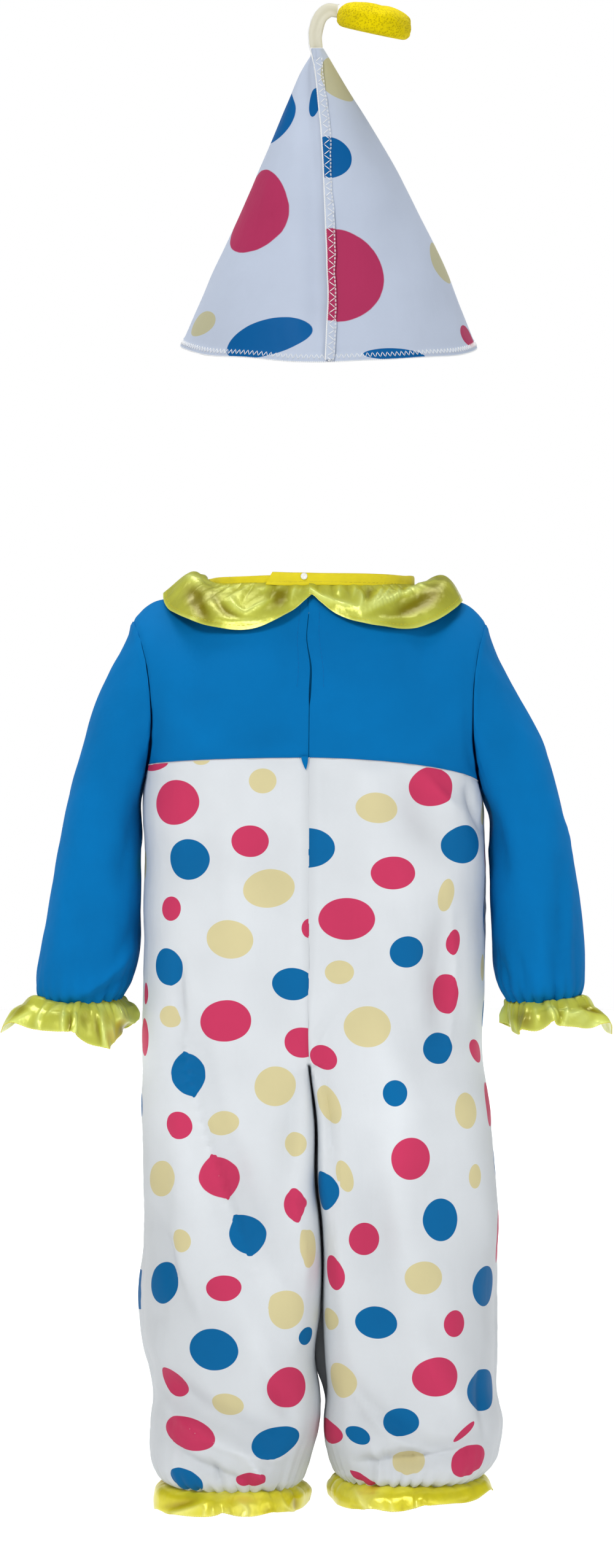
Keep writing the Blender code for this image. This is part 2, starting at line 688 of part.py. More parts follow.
def collar_point(angle, t):
    # A place on the collar: t runs from the neck to the hem. It lies down over the shoulders,
    # puffs up between, and is drawn into small gathers by the neck.
    half_turn = min(angle, 2 * math.pi - angle)
    face = BACK if half_turn < math.pi / 2 else FRONT
    from_face = half_turn if face == BACK else math.pi - half_turn
    side = LEFT if angle < math.pi else RIGHT
    rows, degrees = COLLARS[side], math.degrees(half_turn)
    start = neck_point(side, face, from_face, spread=1.1)
    start[2] -= 0.2
    out = np.array([-math.sin(angle), -math.cos(angle), 0.0])
    drop = math.radians(read(rows, "drop", degrees))
    down = out * math.cos(drop) - np.array([0, 0, math.sin(drop)])
    rise = out * math.sin(drop) + np.array([0, 0, math.cos(drop)])
    length = read(rows, "length", degrees)
    bend = math.log(0.5) / math.log(read(rows, "crest", degrees))
    puff = read(rows, "puff", degrees) * math.sin(math.pi * t ** bend)
    wave = math.sin(COLLAR_WAVES * angle + 0.9 * math.sin(3 * angle)) + 1
    gather = math.sin(COLLAR_GATHERS * angle + 0.8 * math.sin(5 * angle)) + 1
    lift = SATIN_WALL * 1.6 + puff + wave * COLLAR_WAVE_HEIGHT * length / 33 * t
    lift += gather * COLLAR_GATHER_HEIGHT * math.sin(math.pi * min(1.0, t * 1.5)) * (1 - t)
    return start + down * length * t + rise * lift


def build_collar():
    columns = COLLAR_GATHERS * POINTS_PER_GATHER
    angles = np.linspace(COLLAR_OPENING, 2 * math.pi - COLLAR_OPENING, columns + 1)
    places = np.linspace(0, 1, COLLAR_ROWS + 1)
    grid = np.array([[collar_point(angle, t) for angle in angles] for t in places])
    core = grid.mean(axis=1, keepdims=True) - np.array([0, 0, 30.0])
    normals = surface_normals(grid, core, False)
    wall_object("collar_frill", grid, normals, SATIN_WALL, False, SATIN_YELLOW, 0.35)


def band_point(angle, out, up):
    # The band's line: from under the lap on the right, once round the neck, over the lap.
    lap_start = 2 * math.pi - math.radians(70)
    share = min(max((angle - lap_start) / math.radians(60), 0.0), 1.0)
    out += BAND_LAP * share * share * (3 - 2 * share)
    level = NECK_HEIGHT - NECK_FRONT_DROP * max(0.0, -math.cos(angle))
    return np.array([-(NECK_HALF_WIDTH + out) * math.sin(angle),
                     -(NECK_HALF_DEPTH + out) * math.cos(angle), level + BAND_SEAT + up])


def build_band():
    angles = np.linspace(-BAND_UNDER_END, 2 * math.pi + BAND_OVER_END, BAND_STEPS + 1)
    outer = np.array([[band_point(a, 0.6, 0), band_point(a, 0.6, BAND_HEIGHT)] for a in angles])
    inner = np.array([[band_point(a, 0.6 - BAND_WALL, 0), band_point(a, 0.6 - BAND_WALL, BAND_HEIGHT)]
                      for a in angles])
    wall_object("neck_band", outer, (outer - inner) / BAND_WALL, BAND_WALL, False, BAND_YELLOW, 0.7)


def build_snap():
    angle = 2 * math.pi - math.asin(SNAP_X / NECK_HALF_WIDTH)
    seat = band_point(angle, 0.6, BAND_HEIGHT * 0.55)
    steps = 14
    rings = [(SNAP_RADIUS * 0.94, SEAM_GAP), (SNAP_RADIUS, SEAM_GAP + 0.3),
             (SNAP_RADIUS * 0.9, SNAP_HEIGHT * 0.8), (SNAP_RADIUS * 0.5, SNAP_HEIGHT)]
    points, faces = [], []
    for radius, out in rings:
        for s in range(steps):
            turn = 2 * math.pi * s / steps
            points.append(seat + np.array([radius * math.cos(turn), -out, radius * math.sin(turn)]))
    for k in range(len(rings) - 1):
        for s in range(steps):
            i, j = k * steps + s, k * steps + (s + 1) % steps
            faces.append([i, j, j + steps, i + steps])
    faces.append(list(range(steps))[::-1])
    faces.append(list(range(len(points) - steps, len(points))))
    add_object("neck_snap", points, faces, SNAP_WHITE, 0.3)


def hat_place(x, depth, rise):
    # A place in the hat's own frame (depth is towards the front), leaned back and set.
    y = depth * math.cos(HAT_TILT) - rise * math.sin(HAT_TILT)
    z = depth * math.sin(HAT_TILT) + rise * math.cos(HAT_TILT)
    return np.array([HAT_X + x, HAT_Y + y, HAT_Z + z])


def hat_point(angle, rise, out=0.0):
    # Angle 0 is the centre back, 90 degrees is the wearer's right.
    left, right = read(HAT, "left", rise), read(HAT, "right", rise)
    x = (left + right) / 2 + ((right - left) / 2 + out) * math.sin(angle)
    return hat_place(x, -(read(HAT, "depth", rise) + out) * math.cos(angle), rise)


def build_hat_cone():
    rises = np.linspace(0, HAT["rise"][-1], HAT_ROWS + 1)
    turns = [2 * math.pi * c / HAT_COLUMNS for c in range(HAT_COLUMNS)]
    grid = np.array([[hat_point(turn, rise) for turn in turns] for rise in rises])
    normals = surface_normals(grid, grid.mean(axis=1, keepdims=True), True)
    wall_object("hat_cone", grid, normals, CLOTH_WALL, True, WHITE, 0.6)


def build_hat_seam():
    rises = np.linspace(1.0, HAT["rise"][-1] - 6, HAT_ROWS * 2 + 1)
    outer = []
    for rise in rises:
        width = SEAM_STRIP_WIDTH * (0.9 + 0.1 * math.sin(rise / 9))
        radius = max(read(HAT, "depth", rise), 6.0)
        turns = [(SEAM_STRIP_SHIFT + width * share) / radius for share in (0.0, 0.5, 1.0)]
        outer.append([hat_point(turn, rise, SEAM_GAP * 1.6 + SEAM_STRIP_WALL) for turn in turns])
    outer = np.array(outer)
    normals = surface_normals(outer, np.array(hat_place(0, 0, 60)), False)
    wall_object("hat_seam", outer, normals, SEAM_STRIP_WALL, False, WHITE, 0.6)


def build_hat_tip():
    # A flat rolled strip on a bending line in the hat's own plane.
    places = np.linspace(0, 1, 11)
    start_rise = HAT["rise"][-1] + SEAM_GAP
    sides = 10
    points, faces = [], []
    for place in places:
        lean = 1e-3
        x, z = read(TIP, "x", place), read(TIP, "z", place)
        ahead = np.array([read(TIP, "x", place + lean) - read(TIP, "x", place - lean),
                          read(TIP, "z", place + lean) - read(TIP, "z", place - lean)])
        if place == 0:
            ahead = np.array([0.0, 1.0])
        ahead = ahead / np.linalg.norm(ahead)
        for s in range(sides):
            turn = 2 * math.pi * s / sides
            across = TIP_WIDTH / 2 * rounded(math.cos(turn), 3)
            deep = TIP_THICKNESS / 2 * rounded(math.sin(turn), 3)
            points.append(hat_place(x + across * ahead[1], deep, start_rise + z - across * ahead[0]))
    for k in range(len(places) - 1):
        for s in range(sides):
            i, j = k * sides + s, k * sides + (s + 1) % sides
            faces.append([i, j, j + sides, i + sides])
    faces.append(list(range(sides))[::-1])
    faces.append(list(range(len(points) - sides, len(points))))
    add_object("hat_tip", points, faces, WHITE, 0.6)


def build_hat_foam():
    # A round puck with a flat underside and a domed top, tilted down to the right.
    profile = [(0.84, 0.0), (0.97, 0.12), (1.0, 0.36), (0.97, 0.6), (0.86, 0.82), (0.6, 0.96), (0.25, 1.0)]
    steps = 22
    end = np.array([read(TIP, "x", 1.0), 0, read(TIP, "z", 1.0)])
    centre = np.array([end[0] + FOAM_OFFSET, 0, end[2] - FOAM_HEIGHT * FOAM_SEAT])
    points, faces = [], []
    for radius, height in profile:
        for s in range(steps):
            turn = 2 * math.pi * s / steps
            x = FOAM_RADIUS * radius * math.cos(turn)
            z = FOAM_HEIGHT * height
            tilted_x = x * math.cos(FOAM_TILT) + z * math.sin(FOAM_TILT)
            tilted_z = z * math.cos(FOAM_TILT) - x * math.sin(FOAM_TILT)
            depth = FOAM_RADIUS * radius * math.sin(turn)
            rise = HAT["rise"][-1] + centre[2] + tilted_z
            points.append(hat_place(centre[0] + tilted_x, depth, rise))
    for k in range(len(profile) - 1):
        for s in range(steps):
            i, j = k * steps + s, k * steps + (s + 1) % steps
            faces.append([i, j, j + steps, i + steps])
    faces.append(list(range(steps))[::-1])
    faces.append(list(range(len(points) - steps, len(points))))
    add_object("hat_foam", points, faces, FOAM_YELLOW, 0.9)


def clear_scene():
    for found in list(bpy.data.objects):
        bpy.data.objects.remove(found, do_unlink=True)


def main():
    clear_scene()
    build_hat_cone()
    build_hat_seam()
    build_hat_tip()
    build_hat_foam()
    build_band()
    build_snap()
    build_collar()
    build_front_yoke()
    for side, word in ((LEFT, "left"), (RIGHT, "right")):
        build_back_yoke(side, "back_yoke_" + word)
        build_sleeve(side, "sleeve_" + word)
        build_cuff_frill(side, "cuff_frill_" + word)
        build_trouser_panel(side, BACK, "trouser_back_" + word)
        build_trouser_panel(side, FRONT, "trouser_front_" + word)
        build_ankle_frill(side, "ankle_frill_" + word)


main()
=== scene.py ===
# Toddler's clown costume in its hollow worn form: a jumpsuit with a plain yoke and sleeves,
# dotted trousers and satin frills, and a pointed dotted hat above it. The back faces -Y.
# Sizes are millimetres in the costume's own frame until a mesh is made from them.
import math

import bpy
import numpy as np
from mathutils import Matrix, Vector


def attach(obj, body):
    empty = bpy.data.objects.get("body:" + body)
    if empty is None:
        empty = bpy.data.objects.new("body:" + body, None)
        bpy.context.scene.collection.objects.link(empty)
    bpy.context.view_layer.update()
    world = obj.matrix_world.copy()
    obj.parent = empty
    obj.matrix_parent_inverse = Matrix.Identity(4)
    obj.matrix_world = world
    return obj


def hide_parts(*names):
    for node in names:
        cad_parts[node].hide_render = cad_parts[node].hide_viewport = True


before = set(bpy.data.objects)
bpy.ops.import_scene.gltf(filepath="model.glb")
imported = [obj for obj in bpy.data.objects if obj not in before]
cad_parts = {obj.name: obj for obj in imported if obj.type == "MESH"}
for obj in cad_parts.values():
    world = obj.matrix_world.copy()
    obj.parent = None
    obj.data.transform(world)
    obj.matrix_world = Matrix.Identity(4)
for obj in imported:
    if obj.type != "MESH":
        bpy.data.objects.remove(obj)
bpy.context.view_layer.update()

metres = 0.001
noPrint = 9.0  # A place well outside any dot.
left, right = -1, 1
back, front = -1, 1
creaseSteps = 24  # Points on a crease's curve.
tuckReach = 22  # How far the cloth beside a tuck is drawn towards it.


def table(columns, *rows):
    # Rows of numbers under named columns, sorted by the first column.
    names = columns.split()
    rows = sorted(rows)
    return {name: np.array([row[i] for row in rows], float) for i, name in enumerate(names)}


def readAt(rows, column, places):
    # One column of a table at any places, on a smooth curve through its rows.
    keys = next(iter(rows.values()))
    values = rows[column]
    places = np.clip(places, keys[0], keys[-1])
    slopes = np.gradient(values, keys)
    i = np.clip(np.searchsorted(keys, places) - 1, 0, len(keys) - 2)
    span = keys[i + 1] - keys[i]
    t = (places - keys[i]) / span
    start, end = values[i], values[i + 1]
    leanIn, leanOut = slopes[i] * span, slopes[i + 1] * span
    bend = t * t * (3 * (end - start) - 2 * leanIn - leanOut)
    return start + t * leanIn + bend + t ** 3 * (2 * (start - end) + leanIn + leanOut)


def mix(a, b, share):
    return a + (b - a) * share


def smooth(share):
    share = np.clip(share, 0.0, 1.0)
    return share * share * (3 - 2 * share)


def places(x, y, z):
    return np.stack(np.broadcast_arrays(x, y, z), axis=-1).astype(float)


def unit(vectors):
    return vectors / np.maximum(np.linalg.norm(vectors, axis=-1, keepdims=True), 1e-9)


def rounded(value, roundness):
    # A sine or cosine, made squarer by a roundness over 2.
    return np.sign(value) * np.abs(value) ** (2 / roundness)


def bezier(points, t):
    a, b, c, d = (np.array(p, float) for p in points)
    t = np.asarray(t)[..., None]
    s = 1 - t
    return a * s ** 3 + 3 * b * s * s * t + 3 * c * s * t * t + d * t ** 3


def wander(x, y, size, seed):
    # Smooth uneven values between -1 and 1, in hills about one size across.
    lattice = np.random.default_rng(seed).uniform(-1, 1, (64, 64))
    u, v = np.asarray(x) / size + 70.3, np.asarray(y) / size + 70.1
    i, j = np.floor(u).astype(int), np.floor(v).astype(int)
    s, t = (share ** 3 * (share * (share * 6 - 15) + 10) for share in (u - i, v - j))
    low = mix(lattice[i % 64, j % 64], lattice[(i + 1) % 64, j % 64], s)
    high = mix(lattice[i % 64, (j + 1) % 64], lattice[(i + 1) % 64, (j + 1) % 64], s)
    return mix(low, high, t)


def gridNormals(grid, core, closed):
    # Unit normals of a grid of points, facing away from its core points.
    if closed:
        along = np.roll(grid, -1, axis=1) - np.roll(grid, 1, axis=1)
    else:
        along = np.gradient(grid, axis=1)
    normals = unit(np.cross(along, np.gradient(grid, axis=0)))
    return normals if np.sum(normals * (grid - core)) > 0 else -normals


def arcLengths(grid, axis, closed=False):
    # The running length in millimetres along one axis of a grid.
    steps = np.linalg.norm(np.diff(grid, axis=axis), axis=-1)
    start = np.zeros_like(np.take(steps, [0], axis=axis))
    lengths = np.cumsum(np.concatenate([start, steps], axis=axis), axis=axis)
    if closed:
        last = np.linalg.norm(grid[:, :1] - grid[:, -1:], axis=-1)
        lengths = np.concatenate([lengths, lengths[:, -1:] + last], axis=1)
    return lengths


allEdges = ["top", "bottom", "first", "last"]


def edgeGap(grid, edges):
    # How far each place of a grid is from the nearest of its named edges.
    down, across = arcLengths(grid, 0), arcLengths(grid, 1)
    gaps = {"top": down, "bottom": down[-1:] - down, "first": across, "last": across[:, -1:] - across}
    return np.min([gaps[edge] for edge in edges], axis=0)


def stitchedEdges(grid, normals, edges, sink=0.7, width=1.6, pucker=0.3, seed=1):
    # Rolls a sewn edge inwards and puckers the cloth lightly beside it.
    gap = edgeGap(grid, edges)
    run = arcLengths(grid, 0) + arcLengths(grid, 1)
    ripple = wander(run, gap * 0.4, 5.0, seed) * np.exp(-gap / 7.0) * pucker
    drop = ripple - sink * np.exp(-(gap / width) ** 2)
    return grid + normals * drop[..., None]


def creaseTable(*rows, usual=(0.0, 1.2, 0.0)):
    # Creases, a row for each: three places on its curve, its width, its height (or depth), how
    # far it leans to one side, its form (2 is a round hill, less is a sharp one) and the cloth
    # hidden at each side of it in a tuck. What a row leaves out is the usual.
    columns = "x0 z0 x1 z1 x2 z2 width height lean form tuck".split()
    given = len(columns) - len(usual)
    rows = [row + usual[len(row) - given:] for row in rows]
    return {name: np.array([row[i] for row in rows], float) for i, name in enumerate(columns)}


def creaseHeight(creases, x, z):
    # The height of all the creases at each place: every crease fades at its ends. Where some
    # have tucks it also returns how far the cloth has moved sideways into them.
    total, moved = np.zeros(np.shape(x)), np.zeros(np.shape(x) + (3,))
    steps = np.linspace(0, 1, creaseSteps + 1)
    for i in range(len(creases["width"])):
        ends = [np.array([creases["x" + k][i], creases["z" + k][i]]) for k in "012"]
        a, b, c = steps[:, None] ** 2, 2 * (steps * (1 - steps))[:, None], (1 - steps[:, None]) ** 2
        line = ends[0] * c + ends[1] * b + ends[2] * a
        ahead = unit(np.gradient(line, axis=0))
        offX = x[..., None] - line[:, 0]
        offZ = z[..., None] - line[:, 1]
        squares = offX ** 2 + offZ ** 2
        spacing = np.linalg.norm(line[-1] - line[0]) / creaseSteps
        weights = np.exp(-(squares - squares.min(axis=-1, keepdims=True)) / (4 * spacing ** 2))
        weights /= weights.sum(axis=-1, keepdims=True)
        along = (weights * steps).sum(axis=-1)
        side = (weights * (offX * ahead[:, 1] - offZ * ahead[:, 0])).sum(axis=-1)
        gap = np.sqrt(squares.min(axis=-1))
        width = creases["width"][i] * (1 + creases["lean"][i] * np.tanh(side / 3))
        profile = np.exp(-(gap / width) ** creases["form"][i])
        fade = np.sin(np.pi * mix(0.06, 0.94, along)) ** 0.8
        total += creases["height"][i] * fade * profile
        if creases["tuck"][i]:
            pulled = creases["tuck"][i] * fade * np.exp(-(gap / tuckReach) ** 2) * np.tanh(side / 0.6)
            turned = (weights[..., None] * places(ahead[:, 1], 0.0, -ahead[:, 0])).sum(axis=-2)
            moved += pulled[..., None] * turned
    return (total, moved) if creases["tuck"].any() else total


def gridCells(rows, columns, closed=True):
    # A grid's cells: the numbers of their rows, columns and next columns, and their corners.
    steps = columns if closed else columns - 1
    r, c = (index.ravel() for index in np.meshgrid(np.arange(rows - 1), np.arange(steps), indexing="ij"))
    d = (c + 1) % columns
    near, far = r * columns, (r + 1) * columns
    return r, c, d, np.stack([near + c, near + d, far + d, far + c], 1)


def cappedFaces(quads, rows, columns):
    # The faces of a tube that is closed by a cap at each end.
    last = (rows - 1) * columns
    return quads.tolist() + [list(range(columns))[::-1], list(range(last, last + columns))]


def addObject(name, data):
    added = bpy.data.objects.new(name, data)
    bpy.context.scene.collection.objects.link(added)
    return added


def addPiece(name, points, faces, materials, corners=None, slots=None, sharp=50, tones=None):
    # A mesh object in metres, with its cloth map, print places and painted fold light and shade where it has
    # them.
    mesh = bpy.data.meshes.new(name)
    mesh.from_pydata(np.asarray(points) * metres, [], [list(face) for face in faces])
    for made in materials:
        mesh.materials.append(made)
    if slots is not None:
        mesh.polygons.foreach_set("material_index", np.asarray(slots, np.int32))
    for label, values in (corners or {}).items():
        if values.shape[-1] == 2:
            layer = mesh.uv_layers.new(name=label)
            layer.data.foreach_set("uv", values.astype(np.float32).ravel())
        else:
            layer = mesh.attributes.new(label, "FLOAT_VECTOR", "CORNER")
            layer.data.foreach_set("vector", values.astype(np.float32).ravel())
    if tones is not None:
        # Painted light and shade for each point: under 0.5 is painted shade, over it a painted highlight.
        layer = mesh.attributes.new("paintedFoldLight", "FLOAT", "POINT")
        layer.data.foreach_set("value", np.asarray(tones, np.float32))
    mesh.shade_smooth()
    mesh.set_sharp_from_angle(angle=math.radians(sharp))
    mesh.update()
    return addObject(name, mesh)


def wallPiece(name, outer, normals, wall, closed, materials, prints=None, tones=None, printed=None):
    # A thin shell between a grid and the same grid moved inwards: the first material is
    # outside, the last one inside. Prints turns face corners into their places in the dots,
    # and printed is the grid to read them on where the cloth is tucked.
    rows, columns = outer.shape[:2]
    points = np.concatenate([outer.reshape(-1, 3), (outer - normals * wall).reshape(-1, 3)])
    half = rows * columns
    r, c, d, quads = gridCells(rows, columns, closed)
    across = arcLengths(outer, 1, closed)
    down = arcLengths(outer, 0)
    middle = across.shape[1] // 2
    across = across - across[:, middle:middle + 1]
    u = np.stack([across[r, c], across[r, c + 1], across[r + 1, c + 1], across[r + 1, c]], 1)
    v = np.stack([down[r, c], down[r, d], down[r + 1, d], down[r + 1, c]], 1)
    cloth = np.stack([u, v], -1) * metres
    rims = []
    ring = np.arange(columns if closed else columns - 1)
    for row, turn in ((0, 1), (rows - 1, -1)):
        i, j = row * columns + ring, row * columns + (ring + 1) % columns
        rims.append(np.stack([j, i, half + i, half + j], 1)[:, ::turn])
    if not closed:
        for column, turn in ((0, -1), (columns - 1, 1)):
            i = np.arange(rows - 1) * columns + column
            rims.append(np.stack([i + columns, i, half + i, half + i + columns], 1)[:, ::turn])
    rims = np.concatenate(rims)
    corner = points[quads]
    facing = np.cross(corner[:, 2] - corner[:, 0], corner[:, 3] - corner[:, 1])
    turn = 1 if np.sum(facing * normals.reshape(-1, 3)[quads[:, 0]]) > 0 else -1
    faces = np.concatenate([quads, quads[:, ::-1] + half, rims])[:, ::turn]
    rimMap = np.zeros((len(rims), 4, 2))
    corners = {"cloth": np.concatenate([cloth, cloth[:, ::-1], rimMap])[:, ::turn]}
    if prints is not None:
        shown = prints((outer if printed is None else printed).reshape(-1, 3)[quads])
        rimPrint = np.full((len(rims), 4, 3), noPrint)
        corners["dotPlace"] = np.concatenate([shown, shown[:, ::-1], rimPrint])[:, ::turn]
    slots = np.zeros(len(faces), int)
    slots[len(quads):2 * len(quads)] = len(materials) - 1
    tones = np.tile(np.ravel(np.full((rows, columns), 0.5) if tones is None else tones), 2)
    return addPiece(name, points, faces, materials, corners, slots, tones=tones)


def dress(piece, nodeName=None):
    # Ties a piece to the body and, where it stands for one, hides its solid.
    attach(piece, "root")
    if nodeName:
        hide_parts(nodeName)
    return piece


def makeStitchTree():
    # One spindle of thread for every step along a line, turned to lie on the cloth there.
    tree = bpy.data.node_groups.new("stitchRun", "GeometryNodeTree")
    kinds = {"Lines": "Geometry", "Spacing": "Float", "Length": "Float", "Thickness": "Float",
             "Slant": "Float", "Zigzag": "Float", "Thread": "Material"}
    keys = {}
    for label, kind in kinds.items():
        socket = tree.interface.new_socket(label, in_out="INPUT", socket_type="NodeSocket" + kind)
        keys[label] = socket.identifier
    tree.interface.new_socket("Stitches", in_out="OUTPUT", socket_type="NodeSocketGeometry")
    into, out = tree.nodes.new("NodeGroupInput").outputs, tree.nodes.new("NodeGroupOutput")
    curve = node(tree, "GeometryNodeMeshToCurve", [(0, into["Lines"])])
    dots = node(tree, "GeometryNodeCurveToPoints", [("Curve", curve.outputs[0]), ("Length", into["Spacing"])],
                mode="LENGTH")
    away = node(tree, "GeometryNodeInputNamedAttribute", data_type="FLOAT_VECTOR", in_Name="away")
    lying = node(tree, "FunctionNodeAxesToRotation", [(0, away.outputs[0]), (1, dots.outputs["Tangent"])],
                 primary_axis="Z", secondary_axis="X")
    index = node(tree, "GeometryNodeInputIndex")
    side = maths(tree, "MULTIPLY_ADD", maths(tree, "MODULO", index.outputs[0], 2.0), -2.0, 1.0)
    side = maths(tree, "MULTIPLY_ADD", maths(tree, "SUBTRACT", side, 1.0), into["Zigzag"], 1.0)
    slant = node(tree, "CombineXYZ", [("Z", maths(tree, "MULTIPLY", side, into["Slant"]))])
    turn = node(tree, "FunctionNodeEulerToRotation", [(0, slant.outputs[0])])
    turned = node(tree, "FunctionNodeRotateRotation", [(0, lying.outputs[0]), (1, turn.outputs[0])],
                  rotation_space="LOCAL")
    half = maths(tree, "MULTIPLY", into["Thickness"], 0.5)
    size = node(tree, "CombineXYZ", [("X", maths(tree, "MULTIPLY", into["Length"], 0.5)),
                                               ("Y", half), ("Z", half)])
    spindle = node(tree, "GeometryNodeMeshUVSphere", in_Segments=6, in_Rings=4, in_Radius=1.0)
    placed = node(tree, "GeometryNodeInstanceOnPoints", [
        ("Points", dots.outputs["Points"]), ("Instance", spindle.outputs[0]),
        ("Rotation", turned.outputs[0]), ("Scale", size.outputs[0])])
    real = node(tree, "GeometryNodeRealizeInstances", [(0, placed.outputs[0])])
    painted = node(tree, "GeometryNodeSetMaterial", [(0, real.outputs[0]), ("Material", into["Thread"])])
    tree.links.new(painted.outputs[0], out.inputs[0])
    return tree, keys


def makeStitches(name, lines, thread, slot, **sizes):
    # Sewing along lines of (places, directions away from the cloth), in millimetres.
    counts = [len(points) for points, away in lines]
    starts = np.cumsum([0] + counts[:-1])
    edges = [(int(start + i), int(start + i + 1))
             for start, count in zip(starts, counts) for i in range(count - 1)]
    mesh = bpy.data.meshes.new(name)
    mesh.from_pydata(np.concatenate([points for points, away in lines]) * metres, edges, [])
    layer = mesh.attributes.new("away", "FLOAT_VECTOR", "POINT")
    directions = np.concatenate([away for points, away in lines])
    layer.data.foreach_set("vector", directions.astype(np.float32).ravel())
    piece = addObject(name, mesh)
    run = piece.modifiers.new("stitches", "NODES")
    run.node_group = stitchTree
    for label in ("Spacing", "Length", "Thickness"):
        run[stitchKeys[label]] = sizes[label.lower()] * metres
    run[stitchKeys["Slant"]] = math.radians(sizes.get("slant", 0.0))
    run[stitchKeys["Zigzag"]] = float(sizes.get("zigzag", 0.0))
    run[stitchKeys["Thread"]] = thread
    bpy.context.view_layer.update()
    made = bpy.data.meshes.new_from_object(piece.evaluated_get(bpy.context.evaluated_depsgraph_get()))
    piece.modifiers.clear()
    piece.data = made
    made.name = name
    made.shade_smooth()
    return dress(piece)


def backShare(angle):
    # 1 round a ring's back half, 0 round its front half.
    return smooth((np.cos(angle) + 0.1) / 0.3)


def edgeLine(grid, normals, lift, closed=False):
    # A row of a grid as a line for stitches, lifted off the cloth and closed where it is a ring.
    points = grid + normals * lift
    if closed:
        points, normals = np.concatenate([points, points[:1]]), np.concatenate([normals, normals[:1]])
    return points, normals


def newGroup(name, inputs, outputs):
    tree = bpy.data.node_groups.new(name, "ShaderNodeTree")
    for label, kind, value in inputs:
        socket = tree.interface.new_socket(label, in_out="INPUT", socket_type="NodeSocket" + kind)
        socket.default_value = value
    for label, kind in outputs:
        tree.interface.new_socket(label, in_out="OUTPUT", socket_type="NodeSocket" + kind)
    return tree, tree.nodes.new("NodeGroupInput"), tree.nodes.new("NodeGroupOutput")


def node(tree, kind, links=(), **values):
    # A node with its properties and plain inputs set; links are (input, output socket).
    made = tree.nodes.new(kind if "Node" in kind else "ShaderNode" + kind)
    for label, value in values.items():
        if label.startswith("in_"):
            key = label[3:]
            made.inputs[int(key) if key.isdigit() else key.replace("_", " ")].default_value = value
        else:
            setattr(made, label, value)
    for key, socket in links:
        tree.links.new(socket, made.inputs[key])
    return made


def maths(tree, operation, first, second=None, third=None):
    made = tree.nodes.new("ShaderNodeMath")
    made.operation = operation
    for i, value in enumerate((first, second, third)):
        if isinstance(value, (int, float)):
            made.inputs[i].default_value = value
        elif value is not None:
            tree.links.new(value, made.inputs[i])
    return made.outputs[0]


def blendColours(tree, share, first, second, kind="MIX"):
    made = tree.nodes.new("ShaderNodeMix")
    made.data_type = "RGBA"
    made.blend_type = kind
    for key, value in ((0, share), (6, first), (7, second)):
        if isinstance(value, (int, float, tuple)):
            made.inputs[key].default_value = value
        else:
            tree.links.new(value, made.inputs[key])
    return made.outputs[2]


weaveSizes = {"thread": 0.34, "depth": 0.05, "fuzz": 0.6}


def makeWeave():
    # Over-and-under threads on the cloth map, which is in metres.
    tree, into, out = newGroup(
        "plainWeave", [("Thread", "Float", weaveSizes["thread"])],
        [("Height", "Float"), ("Shade", "Float")])
    cloth = node(tree, "UVMap", uv_map="cloth")
    step = maths(tree, "DIVIDE", math.pi / metres, into.outputs["Thread"])
    split = node(tree, "SeparateXYZ", [(0, cloth.outputs[0])])
    across = maths(tree, "SINE", maths(tree, "MULTIPLY", split.outputs[0], step))
    down = maths(tree, "SINE", maths(tree, "MULTIPLY", split.outputs[1], step))
    over = maths(tree, "MULTIPLY", across, down)
    fuzz = node(tree, "TexNoise", [("Vector", cloth.outputs[0])], in_Scale=1400.0, in_Detail=2.0)
    rough = maths(tree, "MULTIPLY", maths(tree, "SUBTRACT", fuzz.outputs[0], 0.5), weaveSizes["fuzz"])
    height = maths(tree, "ADD", maths(tree, "MULTIPLY", over, 0.5), rough)
    tree.links.new(height, out.inputs["Height"])
    tree.links.new(maths(tree, "MULTIPLY_ADD", over, 0.04, 1.0), out.inputs["Shade"])
    return tree


def makeMottle():
    # Slow uneven shade in the cloth, near 1.
    tree, into, out = newGroup(
        "clothMottle", [("Size", "Float", 30.0), ("Amount", "Float", 0.06)],
        [("Shade", "Float"), ("Height", "Float")])
    at = node(tree, "TexCoord")
    scale = maths(tree, "DIVIDE", 1 / metres, into.outputs["Size"])
    wide = node(tree, "TexNoise", [("Vector", at.outputs["Object"]), ("Scale", scale)],
                in_Detail=3.0)
    centred = maths(tree, "SUBTRACT", wide.outputs[0], 0.5)
    shade = maths(tree, "MULTIPLY_ADD", centred, maths(tree, "MULTIPLY", into.outputs["Amount"], 2.0), 1.0)
    tree.links.new(shade, out.inputs["Shade"])
    tree.links.new(wide.outputs[0], out.inputs["Height"])
    return tree


dotInks = {
    "crimson": (0.58, 0.040, 0.118, 1), "blue": (0.0, 0.132, 0.355, 1), "yellow": (0.67, 0.60, 0.33, 1),
    "edgeWobble": 0.05, "edgeSoftness": 0.018,
}
grounds = {"trousers": (0.695, 0.73, 0.765, 1), "inside": (0.70, 0.70, 0.67, 1), "tip": (0.66, 0.64, 0.52, 1)}


